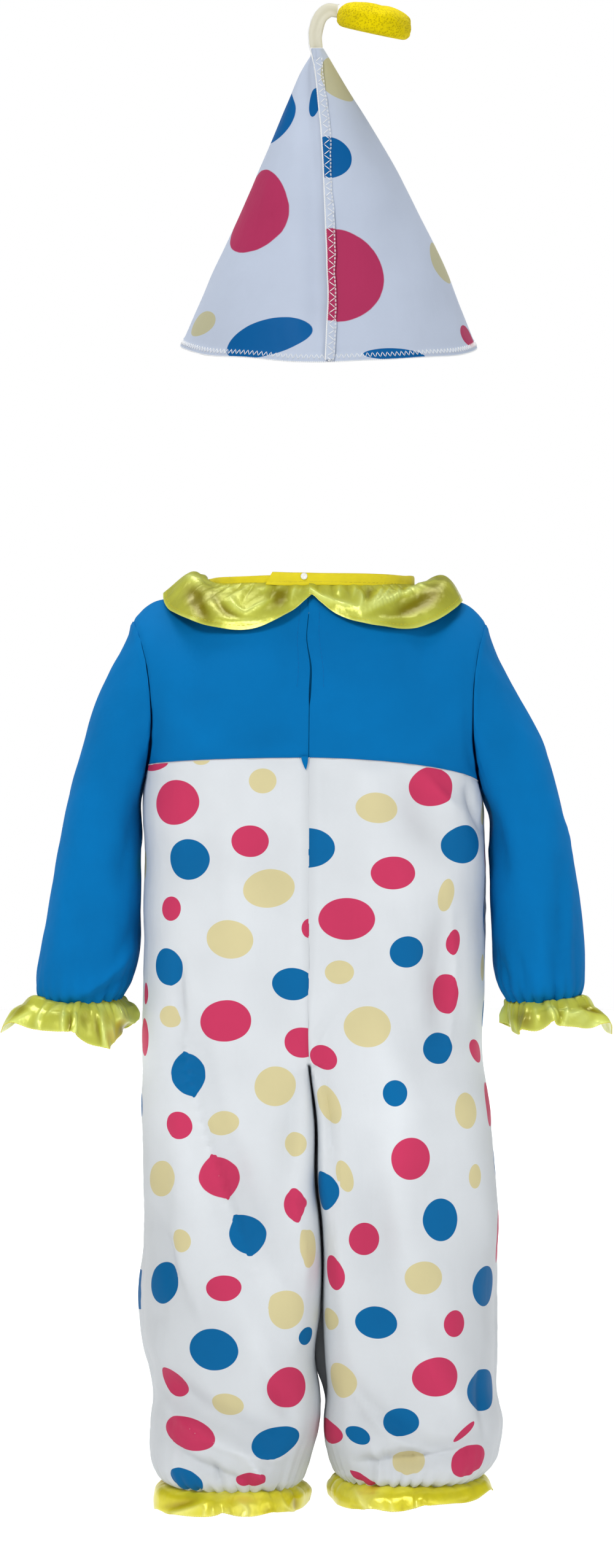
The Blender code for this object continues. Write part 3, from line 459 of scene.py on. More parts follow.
def makeDots():
    # Printed dots: each face carries its place in its nearest dot and that dot's ink.
    tree, into, out = newGroup(
        "printedDots", [("Ground", "Color", grounds["trousers"])], [("Colour", "Color")])
    spot = node(tree, "Attribute", attribute_name="dotPlace")
    split = node(tree, "SeparateXYZ", [(0, spot.outputs["Vector"])])
    flat = node(tree, "CombineXYZ", [(0, split.outputs[0]), (1, split.outputs[1])])
    size = node(tree, "VectorMath", [(0, flat.outputs[0])], operation="LENGTH")
    at = node(tree, "TexCoord")
    uneven = node(tree, "TexNoise", [("Vector", at.outputs["Object"])],
                  in_Scale=70.0, in_Detail=3.0)
    wobble = maths(tree, "MULTIPLY", maths(tree, "SUBTRACT", uneven.outputs[0], 0.5), dotInks["edgeWobble"])
    edge = maths(tree, "ADD", size.outputs["Value"], wobble)
    mask = node(tree, "MapRange", [(0, edge)], in_1=1.0, in_2=1 - dotInks["edgeSoftness"])
    isBlue = maths(tree, "GREATER_THAN", split.outputs[2], 1.5)
    isYellow = maths(tree, "GREATER_THAN", split.outputs[2], 2.5)
    ink = blendColours(tree, isBlue, dotInks["crimson"], dotInks["blue"])
    ink = blendColours(tree, isYellow, ink, dotInks["yellow"])
    tree.links.new(blendColours(tree, mask.outputs[0], into.outputs["Ground"], ink), out.inputs["Colour"])
    return tree


def makePaintedFoldShade():
    # Painted fold shade: cloth is a little darker down in its folds and lighter along their tops.
    tree, into, out = newGroup(
        "foldShade", [("Amount", "Float", 0.24)], [("Shade", "Float")])
    tone = node(tree, "Attribute", attribute_name="paintedFoldLight")
    off = maths(tree, "SUBTRACT", tone.outputs["Fac"], 0.5)
    tree.links.new(maths(tree, "MULTIPLY_ADD", off, into.outputs["Amount"], 1.0), out.inputs["Shade"])
    return tree


weaveGroup, mottleGroup, dotsGroup, paintedShadeGroup = makeWeave(), makeMottle(), makeDots(), makePaintedFoldShade()
stitchTree, stitchKeys = makeStitchTree()


def newFinish(name, **constants):
    made = bpy.data.materials.new(name)
    made.use_nodes = True
    shader = made.node_tree.nodes["Principled BSDF"]
    for label, value in constants.items():
        shader.inputs[label.replace("_", " ")].default_value = value
    return made, made.node_tree, shader


def addGroup(tree, group, **values):
    made = node(tree, "Group", node_tree=group)
    for label, value in values.items():
        made.inputs[label].default_value = value
    return made


def paint(tree, shader, colour, layers=()):
    # A finish's colour and its stacked bumps of (height socket, strength, depth in millimetres).
    tree.links.new(colour, shader.inputs["Base Color"])
    above = shader.inputs["Normal"]
    for height, strength, depth in reversed(layers):
        made = node(tree, "Bump", [("Height", height)], in_Strength=strength,
                    in_Distance=depth * metres)
        tree.links.new(made.outputs[0], above)
        above = made.inputs["Normal"]


def wrinkleNoise(tree, size, stretch=(1, 1, 1), detail=3.0):
    at = node(tree, "TexCoord")
    turned = node(tree, "Mapping", [("Vector", at.outputs["Object"])], in_Scale=stretch)
    noise = node(tree, "TexNoise", [("Vector", turned.outputs[0])],
                 in_Scale=1 / (size * metres), in_Detail=detail, in_Roughness=0.45)
    return noise.outputs[0]


def shaded(tree, colour, *shades):
    for shade in shades:
        colour = blendColours(tree, 1.0, colour, shade, "MULTIPLY")
    return colour


def makeBlueCloth():
    made, tree, shader = newFinish(
        "blueCloth", Roughness=0.8, Sheen_Weight=0.03, Sheen_Roughness=0.5,
        Sheen_Tint=(0.0, 0.4, 1.0, 1), Specular_IOR_Level=0.08)
    weave, mottle = addGroup(tree, weaveGroup), addGroup(tree, mottleGroup, Size=28.0, Amount=0.09)
    # Painted fold shade: darker in the folds and lighter on their ridges.
    fold = addGroup(tree, paintedShadeGroup, Amount=0.32)
    colour = shaded(tree, (0.0, 0.155, 0.43, 1), weave.outputs["Shade"], mottle.outputs["Shade"],
                    fold.outputs[0])
    paint(tree, shader, colour, [(wrinkleNoise(tree, 15, (1, 1, 0.6)), 0.45, 1.8),
                                 (weave.outputs["Height"], 0.3, weaveSizes["depth"])])
    return made


def makeDottedCloth(name, ground, fade=0.0, paintedShade=(1, 1, 1, 1)):
    # The print outside and, fainter, where it shows through to the inside, all under a painted shade colour
    # that is plain white where none is given.
    made, tree, shader = newFinish(
        name, Roughness=0.55, Sheen_Weight=0.02, Sheen_Roughness=0.4, Specular_IOR_Level=0.1)
    weave, mottle = addGroup(tree, weaveGroup), addGroup(tree, mottleGroup, Size=36.0, Amount=0.06)
    dots = addGroup(tree, dotsGroup, Ground=grounds[ground])
    colour = blendColours(tree, fade, dots.outputs["Colour"], grounds[ground])
    # Painted fold shade, then the painted shade colour over the whole cloth.
    fold = addGroup(tree, paintedShadeGroup, Amount=0.3)
    colour = shaded(tree, colour, paintedShade, weave.outputs["Shade"], mottle.outputs["Shade"], fold.outputs[0])
    paint(tree, shader, colour, [(wrinkleNoise(tree, 18, (1, 1, 0.5)), 0.5, 2.2),
                                 (weave.outputs["Height"], 0.22, weaveSizes["depth"])])
    return made


def makeSatin(name, gleam, shade, deep):
    # Long floating threads, with painted highlights along the ridges and painted shade in a deeper tone down
    # in the folds.
    made, tree, shader = newFinish(
        name, Metallic=0.2, Roughness=0.33, Specular_IOR_Level=0.45, Coat_Weight=0.08,
        Coat_Roughness=0.25, Anisotropic=0.4)
    cloth = node(tree, "UVMap", uv_map="cloth")
    floats = node(tree, "Mapping", [("Vector", cloth.outputs[0])], in_Scale=(900, 6000, 1))
    threads = node(tree, "TexNoise", [("Vector", floats.outputs[0])], in_Scale=1.0, in_Detail=2.0)
    mottle = addGroup(tree, mottleGroup, Size=9.0, Amount=0.16)
    tone = node(tree, "Attribute", attribute_name="paintedFoldLight")
    low = node(tree, "MapRange", [(0, tone.outputs["Fac"])], in_1=0.0, in_2=0.5)
    high = node(tree, "MapRange", [(0, tone.outputs["Fac"])], in_1=0.5, in_2=1.0)
    # Painted light: the deep colour is painted fold shade, the gleam colour a painted highlight.
    colour = blendColours(tree, high.outputs[0], blendColours(tree, low.outputs[0], deep, shade), gleam)
    paint(tree, shader, shaded(tree, colour, mottle.outputs["Shade"]),
          [(wrinkleNoise(tree, 6, (1, 1, 0.5)), 0.5, 1.3), (threads.outputs[0], 0.15, 0.05)])
    return made


def makeBinding():
    made, tree, shader = newFinish(
        "yellowBinding", Roughness=0.62, Sheen_Weight=0.2, Sheen_Roughness=0.5, Specular_IOR_Level=0.3)
    weave = addGroup(tree, weaveGroup, Thread=0.45)
    mottle = addGroup(tree, mottleGroup, Size=8.0, Amount=0.12)
    colour = shaded(tree, (0.76, 0.64, 0.006, 1), weave.outputs["Shade"], mottle.outputs["Shade"])
    paint(tree, shader, colour, [(wrinkleNoise(tree, 5, (1, 1, 0.5)), 0.5, 0.8),
                                 (weave.outputs["Height"], 0.4, 0.08)])
    return made


def makeFoam():
    # Open cells of uneven size, with painted shade down in the pits.
    made, tree, shader = newFinish("yellowFoam", Roughness=0.95, Specular_IOR_Level=0.04,
                                   Sheen_Weight=0.04, Sheen_Roughness=0.6)
    at = node(tree, "TexCoord")
    cells = node(tree, "TexVoronoi", [("Vector", at.outputs["Object"])],
                 in_Scale=900.0, in_Randomness=1.0)
    pits = node(tree, "MapRange", [(0, cells.outputs["Distance"])], in_1=0.1, in_2=0.55)
    mottle = addGroup(tree, mottleGroup, Size=12.0, Amount=0.2)
    # Painted shade: darker yellow down in the cells' pits.
    colour = blendColours(tree, pits.outputs[0], (0.44, 0.33, 0.0, 1), (0.72, 0.58, 0.0, 1))
    paint(tree, shader, shaded(tree, colour, mottle.outputs["Shade"]),
          [(mottle.outputs["Height"], 0.5, 1.5), (pits.outputs[0], 0.5, 0.35)])
    return made


def makeSnapPlastic():
    made, tree, shader = newFinish("snapPlastic", Roughness=0.28, Specular_IOR_Level=0.5,
                                   Coat_Weight=0.2, Coat_Roughness=0.15)
    mottle = addGroup(tree, mottleGroup, Size=1.5, Amount=0.04)
    paint(tree, shader, shaded(tree, (0.86, 0.86, 0.82, 1), mottle.outputs["Shade"]),
          [(mottle.outputs["Height"], 0.2, 0.1)])
    return made


def makeThread(name, colour):
    made, tree, shader = newFinish(name, Roughness=0.75, Specular_IOR_Level=0.15)
    at = node(tree, "TexCoord")
    twist = node(tree, "TexWave", [("Vector", at.outputs["Object"])], in_Scale=900.0,
                 in_Distortion=1.0, bands_direction="DIAGONAL")
    shade = blendColours(tree, twist.outputs["Fac"], (0.86, 0.86, 0.86, 1), (1, 1, 1, 1))
    paint(tree, shader, shaded(tree, colour, shade), [(twist.outputs["Fac"], 0.4, 0.05)])
    return made


blueCloth = makeBlueCloth()
dottedCloth = makeDottedCloth("dottedCloth", "trousers")
dottedInside = makeDottedCloth("dottedClothInside", "inside", 0.6)
# The hat is the trousers' cloth and print under a darker, cooler painted shade.
hatCloth = makeDottedCloth("hatCloth", "trousers", paintedShade=(0.66, 0.71, 0.83, 1))
tipCloth = makeDottedCloth("hatTipCloth", "tip")
# Satin colours: a painted highlight, the plain colour, and painted fold shade.
collarSatin = makeSatin("collarSatin", (0.80, 0.88, 0.23, 1), (0.56, 0.59, 0.07, 1), (0.24, 0.21, 0.001, 1))
frillSatin = makeSatin("frillSatin", (0.92, 0.89, 0.20, 1), (0.74, 0.67, 0.02, 1), (0.42, 0.33, 0.001, 1))
yellowBinding = makeBinding()
yellowFoam = makeFoam()
snapPlastic = makeSnapPlastic()
whiteThread = makeThread("whiteThread", (0.86, 0.87, 0.88, 1))
blueThread = makeThread("blueThread", (0.005, 0.16, 0.46, 1))
yellowThread = makeThread("yellowThread", (0.78, 0.68, 0.05, 1))
print("finishes made")


camera = {"distance": 2400.0, "x": -2.5, "z": -95.4, "lens": 93.98, "film": 36.0}
chartStep = 0.36  # The dots are placed on a chart of the costume's back, from the neckline's middle.
printDepth = 30.0  # A dot reaches no further than this along its own normal.
dotFit = {"facing": -0.12, "steepest": -0.35, "narrowest": 0.42, "middle": 0.35, "patch": 0.5,
          "deepest": 1.2}
inks = {"crimson": 1, "blue": 2, "yellow": 3}


def placeDots(grid, normals, rows, face=back, printed=None):
    # Finds each dot's centre and axes on a panel from its place on the chart.
    seenSide = np.array([1.0, -face, 1.0])
    under = (grid if printed is None else printed).reshape(-1, 3) * seenSide
    points, facing = grid.reshape(-1, 3) * seenSide, normals.reshape(-1, 3) * seenSide
    scale = camera["distance"] / (camera["distance"] + points[:, 1])
    seenX = camera["x"] + (points[:, 0] - camera["x"]) * scale
    seenZ = camera["z"] + (points[:, 2] - camera["z"]) * scale
    made = []
    for ink, across, down, wide, high, tilt in rows:
        x, z = across * chartStep, -down * chartStep
        gaps = (seenX - x) ** 2 + (seenZ - z) ** 2
        gaps += np.where(facing[:, 1] < dotFit["facing"], 0, 1e6)
        i = int(np.argmin(gaps))
        near = gaps < (dotFit["middle"] * min(wide, high) * chartStep) ** 2
        normal = unit(facing[near].mean(axis=0)) if near.sum() > 3 else facing[i]
        size = chartStep / scale[i]
        close = np.flatnonzero(gaps < (dotFit["patch"] * min(wide, high) * chartStep) ** 2)
        centre = points[i] + ((under - points)[close].mean(axis=0) if len(close) else 0)
        moveX, moveZ = (x - seenX[i]) / scale[i], (z - seenZ[i]) / scale[i]
        deep = min(normal[1], dotFit["steepest"])
        centre += np.array([moveX, -(normal[0] * moveX + normal[2] * moveZ) / deep, moveZ])
        sideways = unit(np.array([-normal[1], normal[0], 0.0]))
        upward = unit(np.cross(sideways, normal))
        upward *= 1 if upward[2] > 0 else -1
        turn = math.radians(tilt)
        halfWide = wide / 2 * size / max(abs(sideways[0]), dotFit["narrowest"])
        halfHigh = high / 2 * size / max(abs(upward[2]), dotFit["narrowest"])
        first = (sideways * math.cos(turn) + upward * math.sin(turn)) / halfWide
        second = (upward * math.cos(turn) - sideways * math.sin(turn)) / halfHigh
        axes = (centre * seenSide, first * seenSide, second * seenSide, normal * seenSide / printDepth)
        made.append((*axes, inks[ink]))
    return [np.array(column) for column in zip(*made)]


def printPlaces(corners, centres, firsts, seconds, depths, dotInk):
    # The place of every face corner in the dot that is nearest to its face.
    off = corners.mean(axis=1)[:, None] - centres[None]
    size = sum(np.einsum("fdk,dk->fd", off, axis) ** 2 for axis in (firsts, seconds, depths))
    nearest = np.argmin(size, axis=1)
    off = corners - centres[nearest][:, None]
    first = np.einsum("fck,fk->fc", off, firsts[nearest])
    second = np.einsum("fck,fk->fc", off, seconds[nearest])
    deep = np.einsum("fck,fk->fc", off, depths[nearest])
    tooDeep = np.abs(deep).max(axis=1, keepdims=True) > dotFit["deepest"]
    first = first + np.where(tooDeep, noPrint, 0.0)
    return np.stack([first, second, np.broadcast_to(dotInk[nearest][:, None], first.shape)], axis=-1)


def printer(placed):
    return lambda corners: printPlaces(corners, *placed)


def mirrorDots(rows, shiftAcross=0, shiftDown=0):
    return [(ink, -across + shiftAcross, down + shiftDown, wide, high, -tilt)
            for ink, across, down, wide, high, tilt in rows]


torsoRows = table(
    "height left right back front",
    (-84, -97, 99, 66, 64), (-110, -97.2, 101, 68, 66), (-140, -97.6, 102.4, 69.5, 67),
    (-175, -98, 102.6, 71.5, 68), (-205, -97.6, 101.4, 74, 69), (-232, -97.4, 99.8, 75, 69),
    (-256, -97.6, 100, 74, 68),
)

legRows = {
    left: table(
        "height outer inner back front",
        (-190, -97.8, -1.9, 62, 60), (-256, -97.6, -1.9, 61, 59), (-290, -98, 1.8, 58, 56),
        (-330, -98, 2.4, 57, 54), (-345, -98.2, 4.4, 57, 54), (-365, -98.5, 5.9, 56, 53),
        (-400, -100, 5.4, 55, 52), (-430, -97, 2.2, 55, 52), (-450, -93, 5.2, 54, 51),
        (-470, -94.5, 4.8, 54, 51), (-485, -94.5, 1, 53, 50), (-495, -91.5, -2, 50, 48),
        (-501, -86, -5, 46, 44), (-504, -79.5, -8.5, 41, 40),
    ),
    right: table(
        "height outer inner back front",
        (-190, 102, -1.1, 62, 60), (-256, 100, -0.7, 61, 59), (-290, 104, 3.2, 59, 56),
        (-330, 107.5, 4, 58, 55), (-345, 108.2, 5.8, 57, 54), (-365, 109, 6.9, 57, 54),
        (-400, 109.5, 6.5, 56, 53), (-430, 109.5, 7.8, 56, 53), (-450, 109, 9.2, 55, 52),
        (-470, 112.5, 7.2, 55, 52), (-485, 110.5, 8.8, 54, 51), (-495, 107.5, 11.5, 51, 49),
        (-501, 102, 14.5, 47, 45), (-504, 96, 18, 42, 41),
    ),
}

armholes = {
    left: dict(top=(-104.5, 0.0), bottom=(-97.3, -91.5), halfDepth=42.0, bow=8.0),
    right: dict(top=(102.5, -2.0), bottom=(100.0, -101.5), halfDepth=43.0, bow=8.0),
}

# Each sleeve section runs from its outer line to its inner line, beside the body.
sleeveRows = {
    left: table(
        "along outerX outerZ innerX innerZ halfDepth bow",
        (0.00, -104.5, 0, -97.3, -91.5, 42, 8), (0.07, -111.5, -16, -98.1, -95, 40.5, 6.5),
        (0.15, -119.5, -32, -98.7, -100, 39, 5), (0.25, -128.5, -54, -99.2, -108, 37, 3),
        (0.37, -137.2, -84, -99.6, -123, 35.5, 1), (0.50, -145.5, -121, -100, -142, 34.5, 0),
        (0.64, -152, -160, -100.4, -165, 34, 0), (0.77, -158, -189, -100.8, -187, 34.5, 0),
        (0.87, -160.6, -208, -102.6, -203, 33.5, 0), (0.94, -159.6, -218, -106, -213, 30, 0),
        (1.00, -155, -225, -112, -221, 24, 0),
    ),
    right: table(
        "along outerX outerZ innerX innerZ halfDepth bow",
        (0.00, 102.5, -2, 100, -101.5, 43, 8), (0.07, 108.5, -18, 101.5, -105, 41.5, 6.5),
        (0.15, 117, -34, 103, -110, 40, 5), (0.25, 127.5, -54, 104, -117, 38, 3),
        (0.37, 138.2, -80, 104.6, -129, 36, 1), (0.50, 147, -115, 105, -147, 35, 0),
        (0.64, 155.5, -152, 105, -168, 34.5, 0), (0.77, 159.5, -184, 105.2, -188, 34.5, 0),
        (0.87, 160.2, -205, 106.8, -205, 33.5, 0), (0.94, 159, -216, 110, -214, 30, 0),
        (1.00, 154.5, -224, 115.5, -222, 24, 0),
    ),
}

neckline = {"halfWidth": 60.0, "halfDepth": 48.0, "height": 17.5, "frontDrop": 11.0, "radius": 54.0}
yokeCut = {
    "depth": {back: 66.0, front: 64.0}, "hemHeight": -80.5, "fullness": 3.0, "shoulderRise": 6.5,
    "easing": 14, "centreX": -1.5, "cornerTurn": math.radians(76), "armholeCorner": math.radians(-55),
    "armholeRoundness": 2.3, "torsoRoundness": 2.7, "neckShare": 0.625, "seamGap": 0.3,
    "uneven": 0.35, "unevenSize": 26, "stepsAcross": 64, "stepsUp": 66, "wall": 0.7,
}


def armholePlace(side, face, angle):
    # The armhole's seam line: -90 degrees is under the arm, 90 is the shoulder's tip.
    hole = armholes[side]
    up = (1 + rounded(np.sin(angle), yokeCut["armholeRoundness"])) / 2
    across = rounded(np.cos(angle), yokeCut["armholeRoundness"])
    x = mix(hole["bottom"][0], hole["top"][0], up) - side * hole["bow"] * across ** 2
    return places(x, face * hole["halfDepth"] * across, mix(hole["bottom"][1], hole["top"][1], up))


def yokeSeamPlace(side, face, share):
    # The seam under the yoke, from the centre of the body to the armhole's corner.
    corner = armholePlace(side, face, yokeCut["armholeCorner"])
    turn, squareness = yokeCut["cornerTurn"], yokeCut["torsoRoundness"]
    end = rounded(np.cos(turn), squareness)
    out = rounded(np.sin(share * turn), squareness) / rounded(np.sin(turn), squareness)
    deep = (rounded(np.cos(share * turn), squareness) - end) / (1 - end)
    return places(mix(yokeCut["centreX"], corner[0], out),
                  mix(corner[1], face * yokeCut["depth"][face], deep),
                  mix(yokeCut["hemHeight"], corner[2], share ** 1.3))


def neckPlace(side, face, angle, spread=0.0):
    drop = neckline["frontDrop"] * np.cos(angle) if face == front else 0.0
    return places(side * (neckline["halfWidth"] + spread) * np.sin(angle),
                  face * (neckline["halfDepth"] + spread) * np.cos(angle), neckline["height"] - drop)


def yokeTopPlace(side, face, share):
    # The neckline, then the shoulder out to the armhole.
    neck = neckPlace(side, face, math.pi / 2 * np.clip(share / yokeCut["neckShare"], 0, 1))
    run = np.clip((share - yokeCut["neckShare"]) / (1 - yokeCut["neckShare"]), 0, 1)
    run = 1 - (1 - run) ** 1.5
    ends = neckPlace(side, face, math.pi / 2), armholePlace(side, face, math.pi / 2)
    shoulder = mix(ends[0], ends[1], run[..., None])
    shoulder[..., 2] += yokeCut["shoulderRise"] * np.sin(math.pi * run ** 2)
    return np.where((share > yokeCut["neckShare"])[..., None], shoulder, neck)


def softened(line, reach):
    # A line of places with its bends eased out over a number of steps; its ends stay.
    before, after = 2 * line[:1] - line[reach:0:-1], 2 * line[-1:] - line[-2:-reach - 2:-1]
    padded = np.concatenate([before, line, after])
    window = np.hanning(2 * reach + 3)[1:-1]
    return np.stack([np.convolve(padded[:, k], window / window.sum(), "valid") for k in range(3)], -1)


def yokeGrid(side, face):
    # A patch between four curves: the yoke seam, the armhole, the neck and the centre.
    u = np.linspace(0, 1, yokeCut["stepsAcross"] + 1)
    v = np.linspace(0, 1, yokeCut["stepsUp"] + 1)
    hem, top = yokeSeamPlace(side, face, u), yokeTopPlace(side, face, u)
    depth = face * yokeCut["depth"][face]
    line = [hem[0], (yokeCut["centreX"], depth * 1.07, -45), (0.0, depth * 0.89, -4), top[0]]
    centre = bezier(line, v)[:, None]
    edge = armholePlace(side, face, mix(yokeCut["armholeCorner"], math.pi / 2, v))[:, None]
    u, v = u[None, :, None], v[:, None, None]
    corners = mix(mix(hem[0], hem[-1], u), mix(top[0], top[-1], u), v)
    eased = mix(softened(top, yokeCut["easing"])[None], top[None], v ** 7)
    grid = mix(hem[None], eased, v) + mix(centre, edge, u) - corners
    swell = face * yokeCut["fullness"] * np.sin(math.pi * u) * np.sin(math.pi * v)
    grid[..., 1] += swell[..., 0]
    return grid


yokeCreases = {
    back: creaseTable(
        (-96, -88, -89, -62, -93, -28, 6, -1.3, 0.3, 1.6), (97, -96, 90, -66, 94, -30, 6, -1.3, 0.3, 1.6),
        (-60, -78, -74, -60, -88, -52, 9, 0.9, 0, 2), (58, -80, 74, -62, 90, -56, 9, 0.9, 0, 2),
        (-6, -62, -26, -70, -48, -74, 9, -0.8, 0, 2),
    ),
    front: creaseTable(
        (-94, -86, -86, -58, -92, -26, 7, -1.4, 0.3, 1.6), (95, -92, 86, -60, 92, -28, 7, -1.4, 0.3, 1.6),
        (-40, -76, -30, -52, -36, -20, 12, 1, 0, 2), (38, -74, 24, -46, 34, -16, 12, 0.9, 0, 2),
    ),
}
backSlit = {"top": 20.0, "end": -51.0, "widest": 0.5, "bend": 4.0, "stitchedRows": slice(25, 78),
            "tackRow": 20, "tackTop": -50.4, "tackEnd": -52.6}
slitLine = table("z x", (-52, 0.0), (-42, 0.3), (-29, 0.5), (-11.5, -2.2), (4, -1.2), (20, 0.0))


def slitEdge(side, z):
    # The back opening's edge: a bowed slit below the neck, then a plain seam.
    share = np.clip((backSlit["top"] - z) / (backSlit["top"] - backSlit["end"]), 0, 1)
    half = yokeCut["seamGap"] / 2 + backSlit["widest"] * np.sin(math.pi * share ** backSlit["bend"])
    lap = smooth((z - 1) / 9)
    half = half - 0.9 * lap
    return side * half, np.where(z > backSlit["end"], readAt(slitLine, "x", z), 0.0), lap * (side == right)


def drapeYoke(name, nodeName, grid, face, seed, seams):
    # Lays creases and slow unevenness on a yoke, then rolls its sewn edges in.
    core = np.array((0, 0, -40.0))
    normals = gridNormals(grid, core, False)
    lift = creaseHeight(yokeCreases[face], grid[..., 0], grid[..., 2])
    lift = lift + yokeCut["uneven"] * wander(grid[..., 0], grid[..., 2], yokeCut["unevenSize"], seed)
    lift *= smooth(edgeGap(grid, allEdges) / 10)
    grid = grid + normals * lift[..., None]
    for edges, sizes in seams:
        grid = stitchedEdges(grid, normals, edges, **sizes)
    normals = gridNormals(grid, core, False)
    # Painted fold shade: darker in the creases' valleys, lighter on their ridges.
    tones = np.clip(0.5 + 0.2 * lift, 0, 1)
    piece = wallPiece(name, grid, normals, yokeCut["wall"], False, [blueCloth], tones=tones)
    return dress(piece, nodeName), grid, normals


def makeBackYoke(side, name, nodeName):
    grid = yokeGrid(side, back)
    half, line, lap = slitEdge(side, grid[:, :1, 2])
    beside = arcLengths(grid, 1)
    grid[..., 0] += half * np.exp(-beside / 5.0) + line * np.exp(-beside / 14.0)
    grid[..., 1] -= 1.0 * lap * np.exp(-beside / 6.0)
    return drapeYoke(name, nodeName, grid, back, 11, [
        (["top", "last"], dict(seed=21)), (["first"], dict(sink=0.5, width=1.2, pucker=0.25, seed=22))])


def makeFrontYoke():
    halves = [yokeGrid(side, front) for side in (left, right)]
    grid = np.concatenate([halves[0][:, :0:-1], halves[1]], axis=1)
    grid[..., 1] += yokeCut["seamGap"]
    return drapeYoke("yokeFront", "front_yoke", grid, front, 12, [(["top", "first", "last"], dict(seed=23))])


yokes = {
    "Left": makeBackYoke(left, "yokeBackLeft", "back_yoke_left"),
    "Right": makeBackYoke(right, "yokeBackRight", "back_yoke_right"),
    "Front": makeFrontYoke(),
}


tabCut = {"x": -3.9, "shift": 0.7, "top": -79.6, "length": 7.6, "halfWidth": 1.9, "tip": 0.12,
          "clear": 0.9, "swell": 0.7, "wall": 0.5}


def makeYokeTab():
    # The cut end of the opening's facing, caught in the yoke seam and hanging over the trousers.
    cut = tabCut
    down, across = np.linspace(0, 1, 22)[:, None], np.linspace(-1, 1, 11)[None]
    z = cut["top"] - cut["length"] * down + 0 * across
    x = cut["x"] + cut["shift"] * down + across * (cut["halfWidth"] * (1 - down ** 1.7) + cut["tip"])
    swell = cut["swell"] * np.sin(math.pi * down) * (1 - across ** 2)
    grid = places(x, -readAt(torsoRows, "back", z) - cut["clear"] - swell, z)
    normals = gridNormals(grid, np.array((0, 0, cut["top"])), False)
    return dress(wallPiece("yokeTab", grid, normals, cut["wall"], False, [blueCloth]))


for word, (yoke, grid, normals) in yokes.items():
    edge = makeStitches("yokeEdge" + word, [edgeLine(grid[0] - (0, 0, 0.2), normals[0], 0.2)], whiteThread,
                        "dotted_cloth", spacing=1.15, length=1.7, thickness=0.42, slant=30)
    if word != "Front":
        sewn = backSlit["stitchedRows"], 2
        makeStitches(
            "slitStitches" + word, [edgeLine(grid[sewn], normals[sewn], 0.05)], blueThread,
            "blue_cloth", spacing=2.6, length=2.0, thickness=0.3)
    if word == "Left":
        tackZ = np.linspace(backSlit["tackTop"], backSlit["tackEnd"], 3)
        tackAt = places(0.0, grid[backSlit["tackRow"], 0, 1] - 0.25, tackZ)
        makeStitches(
            "slitTack", [(tackAt, places(0.0, -1.0, np.zeros(3)))], whiteThread, "blue_cloth",
            spacing=0.42, length=1.7, thickness=0.4, slant=78, zigzag=1)
        makeYokeTab()
print("yoke made")


trouserCut = {
    "crotchStart": -196.0, "crotchHeight": -256.0, "hipStart": -165.0, "thighEnd": -267.0,
    "legRoundness": 2.25, "seamEnd": -255.0, "partedBy": 11.0, "seatEnd": -282.0, "seatBlend": 24.0,
    "frontGap": 0.7, "frontShift": -3.5, "frontEnd": -462.0, "frontBlend": 25.0,
    "bottoms": {left: -504.0, right: -500.5}, "blouseStart": -470.0,
    "rowRuns": [(-244, 70), (-268, 26), (-476, 92), (-504, 31)], "stepsAcross": 90, "wall": 0.7,
    "gatherSpacing": 7.2, "gatherDepth": 2.9, "gatherReach": 13.0,
}
innerRoundness = table(
    "height roundness", (-504, 2.25), (-490, 2.4), (-455, 3.4), (-380, 6), (-300, 11), (-240, 14))
mainFolds = {
    back: creaseTable(
        (-68, -226, -50, -304, -20, -376, 9, -1.8), (-92, -230, -76, -304, -46, -376, 9, 1.4),
        (54, -90, 62, -112, 74, -130, 12, -3), (76, -168, 80, -208, 74, -248, 10, -4.2),
        (-96, -432, -60, -462, -8, -474, 10, -3), (14, -430, 30, -466, 70, -476, 10, -3),
        (22, -488, 50, -482, 96, -474, 8, -2.4), (30, -300, 44, -345, 38, -395, 12, -2.4),
        (-93, -344, -84, -376, -68, -406, 7, -2.4), (-34, -352, -26, -372, -14, -390, 8, 1.8),
        (-60, -110, -52, -150, -58, -190, 12, -1.8),
        usual=(0.25, 2.0, 0.0),
    ),
    front: creaseTable(
        (-70, -215, -60, -275, -38, -330, 11, -3.6), (76, -205, 64, -262, 46, -325, 12, -3.4),
        (-60, -100, -52, -130, -44, -165, 12, -2.4), (48, -104, 44, -140, 36, -170, 12, -2.2),
        (-92, -440, -56, -466, -6, -470, 10, -3), (16, -468, 52, -468, 100, -440, 10, -3),
        usual=(0.25, 2.0, 0.0),
    ),
}
